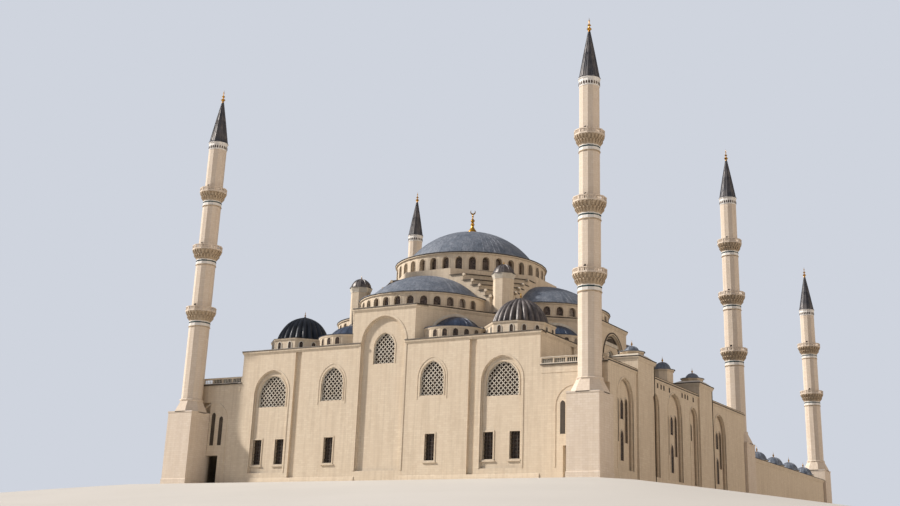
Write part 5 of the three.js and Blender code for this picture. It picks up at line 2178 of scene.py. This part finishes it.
@dataclass(frozen=True)
class Arcade:
    """A row of domed bays behind arches: the portico or one range of the courtyard."""

    name: str
    at: Matrix
    length: float
    bays: int
    depth: float
    top: float
    arch_top: float
    drum: float
    closed_back: bool = True

    def dress(self) -> None:
        """Makes the row's arch edges, cornices, lead edges and domes."""
        bay, half = self.length / self.bays, self.length / 2
        centres = [bay * (i + 0.5) - half for i in range(self.bays)]
        arch = Arch(0.0, bay * 0.38, 0.6, self.arch_top - bay * 0.42, self.arch_top)
        edge = arch.band(0.0, 0.4, -0.14, 0.1, 10).join(arch.band(-0.3, 0.3, 0.35, 0.6, 10))
        diamond = [(0.0, -0.8), (0.4, 0.0), (0.0, 0.8), (-0.4, 0.0)]
        boss = panel(set_off(diamond, 0.0, self.arch_top + 1.3), -0.12, 0.05)
        stone = row(edge.join(boss), Surface.ASHLAR, self.bays, (bay, 0.0, 0.0), (centres[0], 0.0, 0.0))
        top = self.top
        course = [(-0.1, -1.0), (0.08, -1.0), (0.12, -0.75), (0.4, -0.3), (0.4, -0.02), (-0.1, -0.02)]
        lead = [(-0.5, 0.01), (0.4, -0.03), (0.5, 0.05), (0.42, 0.16), (-0.5, 0.24)]
        near = [(-half + 0.1, 0.0), (half - 0.1, 0.0)]
        far = [(half - 0.1, self.depth), (-half + 0.1, self.depth)]
        lines = [near, far] if self.closed_back else [near]
        stone.join(*(moulding(line, set_off(course, 0.0, top)) for line in lines))
        edges = gathered(moulding(line, set_off(lead, 0.0, top)) for line in lines)
        seam = block((-0.08, 0.5, top), (0.08, self.depth - 0.5, top + 0.1))
        # Lead sheets are about 2.2 m wide
        count = int(self.length / 2.2)
        step = self.length / count
        seams = row(seam, Surface.LEAD, count, (step, 0.0, 0.0), (step / 2 - half, 0.0, 0.0))
        piece(f"{self.name}_stone", stone.moved(self.at), Surface.ASHLAR)
        piece(f"{self.name}_lead_edges", edges.moved(self.at), Surface.LEAD_EDGE_AND_PAINTED_SHADE)
        piece(f"{self.name}_seams", seams.moved(self.at), Surface.LEAD)
        middles = [self.at @ Vector((x, self.depth / 2, 0.0)) for x in centres]
        low, crown = top + 0.35 * self.drum, top + 1.2 * self.drum
        domes = [SmallDome(p.x, p.y, self.drum + 0.3, low, 0.92 * self.drum, crown, 16) for p in middles]
        dress_domes(f"{self.name}_domes", domes)


@dataclass
class Stage:
    """The pale floor, which falls away from the building, the sky light, the sun and the camera."""

    half: Flat = (5.87, 4.93)
    rear: float = 15.21
    slope: float = 0.1317
    soft: float = 0.5
    extent: float = 90.0
    cells: int = 120
    margin: float = 0.15
    gap: float = 0.002
    crowding: float = 1.6

    def floor(self) -> None:
        """Makes the floor: level under the building, and sloping down around it."""
        line = [self.extent * (2 * i / self.cells - 1) for i in range(self.cells + 1)]
        spread = [abs(v / self.extent) ** self.crowding * math.copysign(self.extent, v) for v in line]
        corners = []
        for y in spread:
            for x in spread:
                beyond_x = max(abs(x) - self.half[0] - self.margin, 0.0)
                beyond_y = max(-y - self.half[1] - self.margin, y - self.rear - self.margin, 0.0)
                away = math.hypot(beyond_x, beyond_y)
                fall = self.slope * (math.hypot(away, self.soft) - self.soft)
                corners.append((x, y, -self.gap - fall))
        across = self.cells + 1
        faces = [
            (i + j * across, i + 1 + j * across, i + 1 + (j + 1) * across, i + (j + 1) * across)
            for j in range(self.cells)
            for i in range(self.cells)
        ]
        mesh = bpy.data.meshes.new("studio_floor")
        mesh.from_pydata(corners, [], faces)
        for polygon in mesh.polygons:
            polygon.use_smooth = True
        mesh.materials.append(Surface.GROUND.value.material())
        floor = bpy.data.objects.new("studio_floor", mesh)
        bpy.context.scene.collection.objects.link(floor)

    def lamp(self, name: str, strength: float, spread: float, tone: str, heading: Flat) -> None:
        """Adds a soft distant lamp.

        Args:
            name: the lamp's name.
            strength: its strength.
            spread: how wide it looks, in degrees.
            tone: its colour.
            heading: where its light comes from, as degrees from -Y towards -X and degrees above level.
        """
        data = bpy.data.lights.new(name, "SUN")
        data.energy = strength
        data.angle = math.radians(spread)
        data.color = linear(tone)[:3]
        azimuth, height = (math.radians(v) for v in heading)
        level = math.cos(height)
        towards = Vector((-math.sin(azimuth) * level, -math.cos(azimuth) * level, math.sin(height)))
        made = bpy.data.objects.new(name, data)
        made.rotation_euler = towards.to_track_quat("Z", "Y").to_euler()
        bpy.context.scene.collection.objects.link(made)

    def light(self) -> None:
        """Adds a key light from the left, a weak fill from the right and a sky that is paler on the left."""
        self.lamp("studio_key", 5.0, 4.0, "#fff6ec", (67.0, 34.0))
        self.lamp("studio_fill", 1.1, 50.0, "#ffe8ce", (-94.0, 9.0))
        bpy.context.scene.view_settings.view_transform = "Standard"
        world = bpy.data.worlds.new("studio_sky")
        world.use_nodes = True
        tree = world.node_tree
        tree.nodes.clear()
        heading = add_node(tree, "ShaderNodeTexCoord").outputs["Generated"]
        towards = {0: heading, 1: (-0.75, -0.45, 0.48)}
        side = add_node(tree, "ShaderNodeVectorMath", towards, operation="DOT_PRODUCT").outputs["Value"]
        power = add_node(tree, "ShaderNodeMapRange", {0: side, 1: -1.0, 2: 1.0, 3: 0.08, 4: 0.52}).outputs[0]
        sky = add_node(tree, "ShaderNodeBackground", {"Color": linear("#e0e0ea"), "Strength": power})
        plain = add_node(tree, "ShaderNodeBackground", {"Color": linear("#cfd4de"), "Strength": 1.0})
        seen = add_node(tree, "ShaderNodeLightPath").outputs["Is Camera Ray"]
        mixed = add_node(tree, "ShaderNodeMixShader", {0: seen, 1: sky.outputs[0], 2: plain.outputs[0]})
        add_node(tree, "ShaderNodeOutputWorld", {"Surface": mixed.outputs[0]})
        bpy.context.scene.world = world

    def camera(self) -> None:
        """Places the camera at the photograph's viewpoint."""
        azimuth, height, roll_ = (math.radians(v) for v in (-28.626, 19.591, 1.532))
        forward = Vector((
            math.sin(azimuth) * math.cos(height),
            math.cos(azimuth) * math.cos(height),
            math.sin(height),
        ))
        right = Vector((math.cos(azimuth), -math.sin(azimuth), 0.0))
        up = right.cross(forward)
        across = math.cos(roll_) * right + math.sin(roll_) * up
        above = -math.sin(roll_) * right + math.cos(roll_) * up
        data = bpy.data.cameras.new("photo_camera")
        data.sensor_width = 36.0
        data.lens = 49.34
        data.shift_x = -0.0443
        data.shift_y = -0.1236
        data.clip_end = 500.0
        camera = bpy.data.objects.new("photo_camera", data)
        matrix = Matrix((across, above, -forward)).transposed().to_4x4()
        matrix.translation = (16.404, -29.171, -2.062)
        camera.matrix_world = matrix
        bpy.context.scene.collection.objects.link(camera)
        bpy.context.scene.camera = camera

    def dress(self) -> None:
        """Makes the stage."""
        self.camera()
        self.light()
        self.floor()


def dress_solids() -> None:
    """Gives each solid that stays in view its finish."""
    for name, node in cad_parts.items():
        surface = Surface.PAVING if name.endswith("_floor") else Surface.ASHLAR
        material = surface.value.material()
        if not node.material_slots:
            node.data.materials.append(material)
        for slot in node.material_slots:
            slot.material = material
        LOG.info("%s: %s", name, surface.value.name)


MINARET_X = 55.72
TALL = ((LOW_BALCONY, MID_BALCONY, HIGH_BALCONY), TALL_CONE)
SHORT = ((LOW_BALCONY, MID_BALCONY), SHORT_CONE)
# Y of each pair of minarets, with its balconies and its cone
MINARET_PAIRS = {"front": (-45.27, *TALL), "middle": (59.16, *TALL), "rear": (148.15, *SHORT)}


def arcades() -> list[Arcade]:
    """Lists the rows of domed bays.

    Returns:
        The portico and the three ranges of the courtyard.
    """
    portico_end, court_end, outer = 56.2, 145.2, 58.7
    portico_depth, portico_length = 13.544, 84.594
    court_length, gate_length = 88.997, 99.394
    middle = (portico_end + court_end) / 2
    low = {"bays": 5, "depth": 9.0, "top": 14.5, "arch_top": 11.0, "drum": 2.95}
    high = {"bays": 5, "depth": portico_depth, "top": 22.0, "arch_top": 16.5, "drum": 5.2}
    portico_at, gate_at = shift(0, portico_end) @ turn(180), shift(0, court_end - low["depth"])
    found = [
        Arcade("portico", portico_at, portico_length, **high, closed_back=False),
        Arcade("gate_range", gate_at, gate_length, **low),
    ]
    for hand, sign in HANDS:
        at = Matrix.Diagonal((sign, 1, 1, 1)) @ shift(outer - low["depth"], middle) @ turn(-90)
        found.append(Arcade(f"courtyard_{hand}", at, court_length, **low))
    return found


def main() -> None:
    """Builds the stage and dresses the building, part by part."""
    logging.basicConfig(level=logging.INFO, format="%(message)s")
    Stage().dress()
    dress_solids()
    for hand, sign in HANDS:
        for pair, (y, balconies, cone) in MINARET_PAIRS.items():
            Minaret(f"{pair}_{hand}", sign * MINARET_X, y, balconies, cone).dress()
    MainDome().dress()
    SteppedBase().dress()
    for turns, side in enumerate(SIDES):
        HalfDome(side, turns).dress()
        HallWall(side, turns).dress()
        for hand in (1, -1):
            Exedra(side, turns, hand).dress()
    for turns, corner in enumerate(CORNERS):
        CornerDome(corner, turns).dress()
        Turret(corner, turns).dress()
    for sign in (1, -1):
        Gallery(sign).dress()
    for arcade in arcades():
        arcade.dress()


if __name__ == "__main__":
    main()
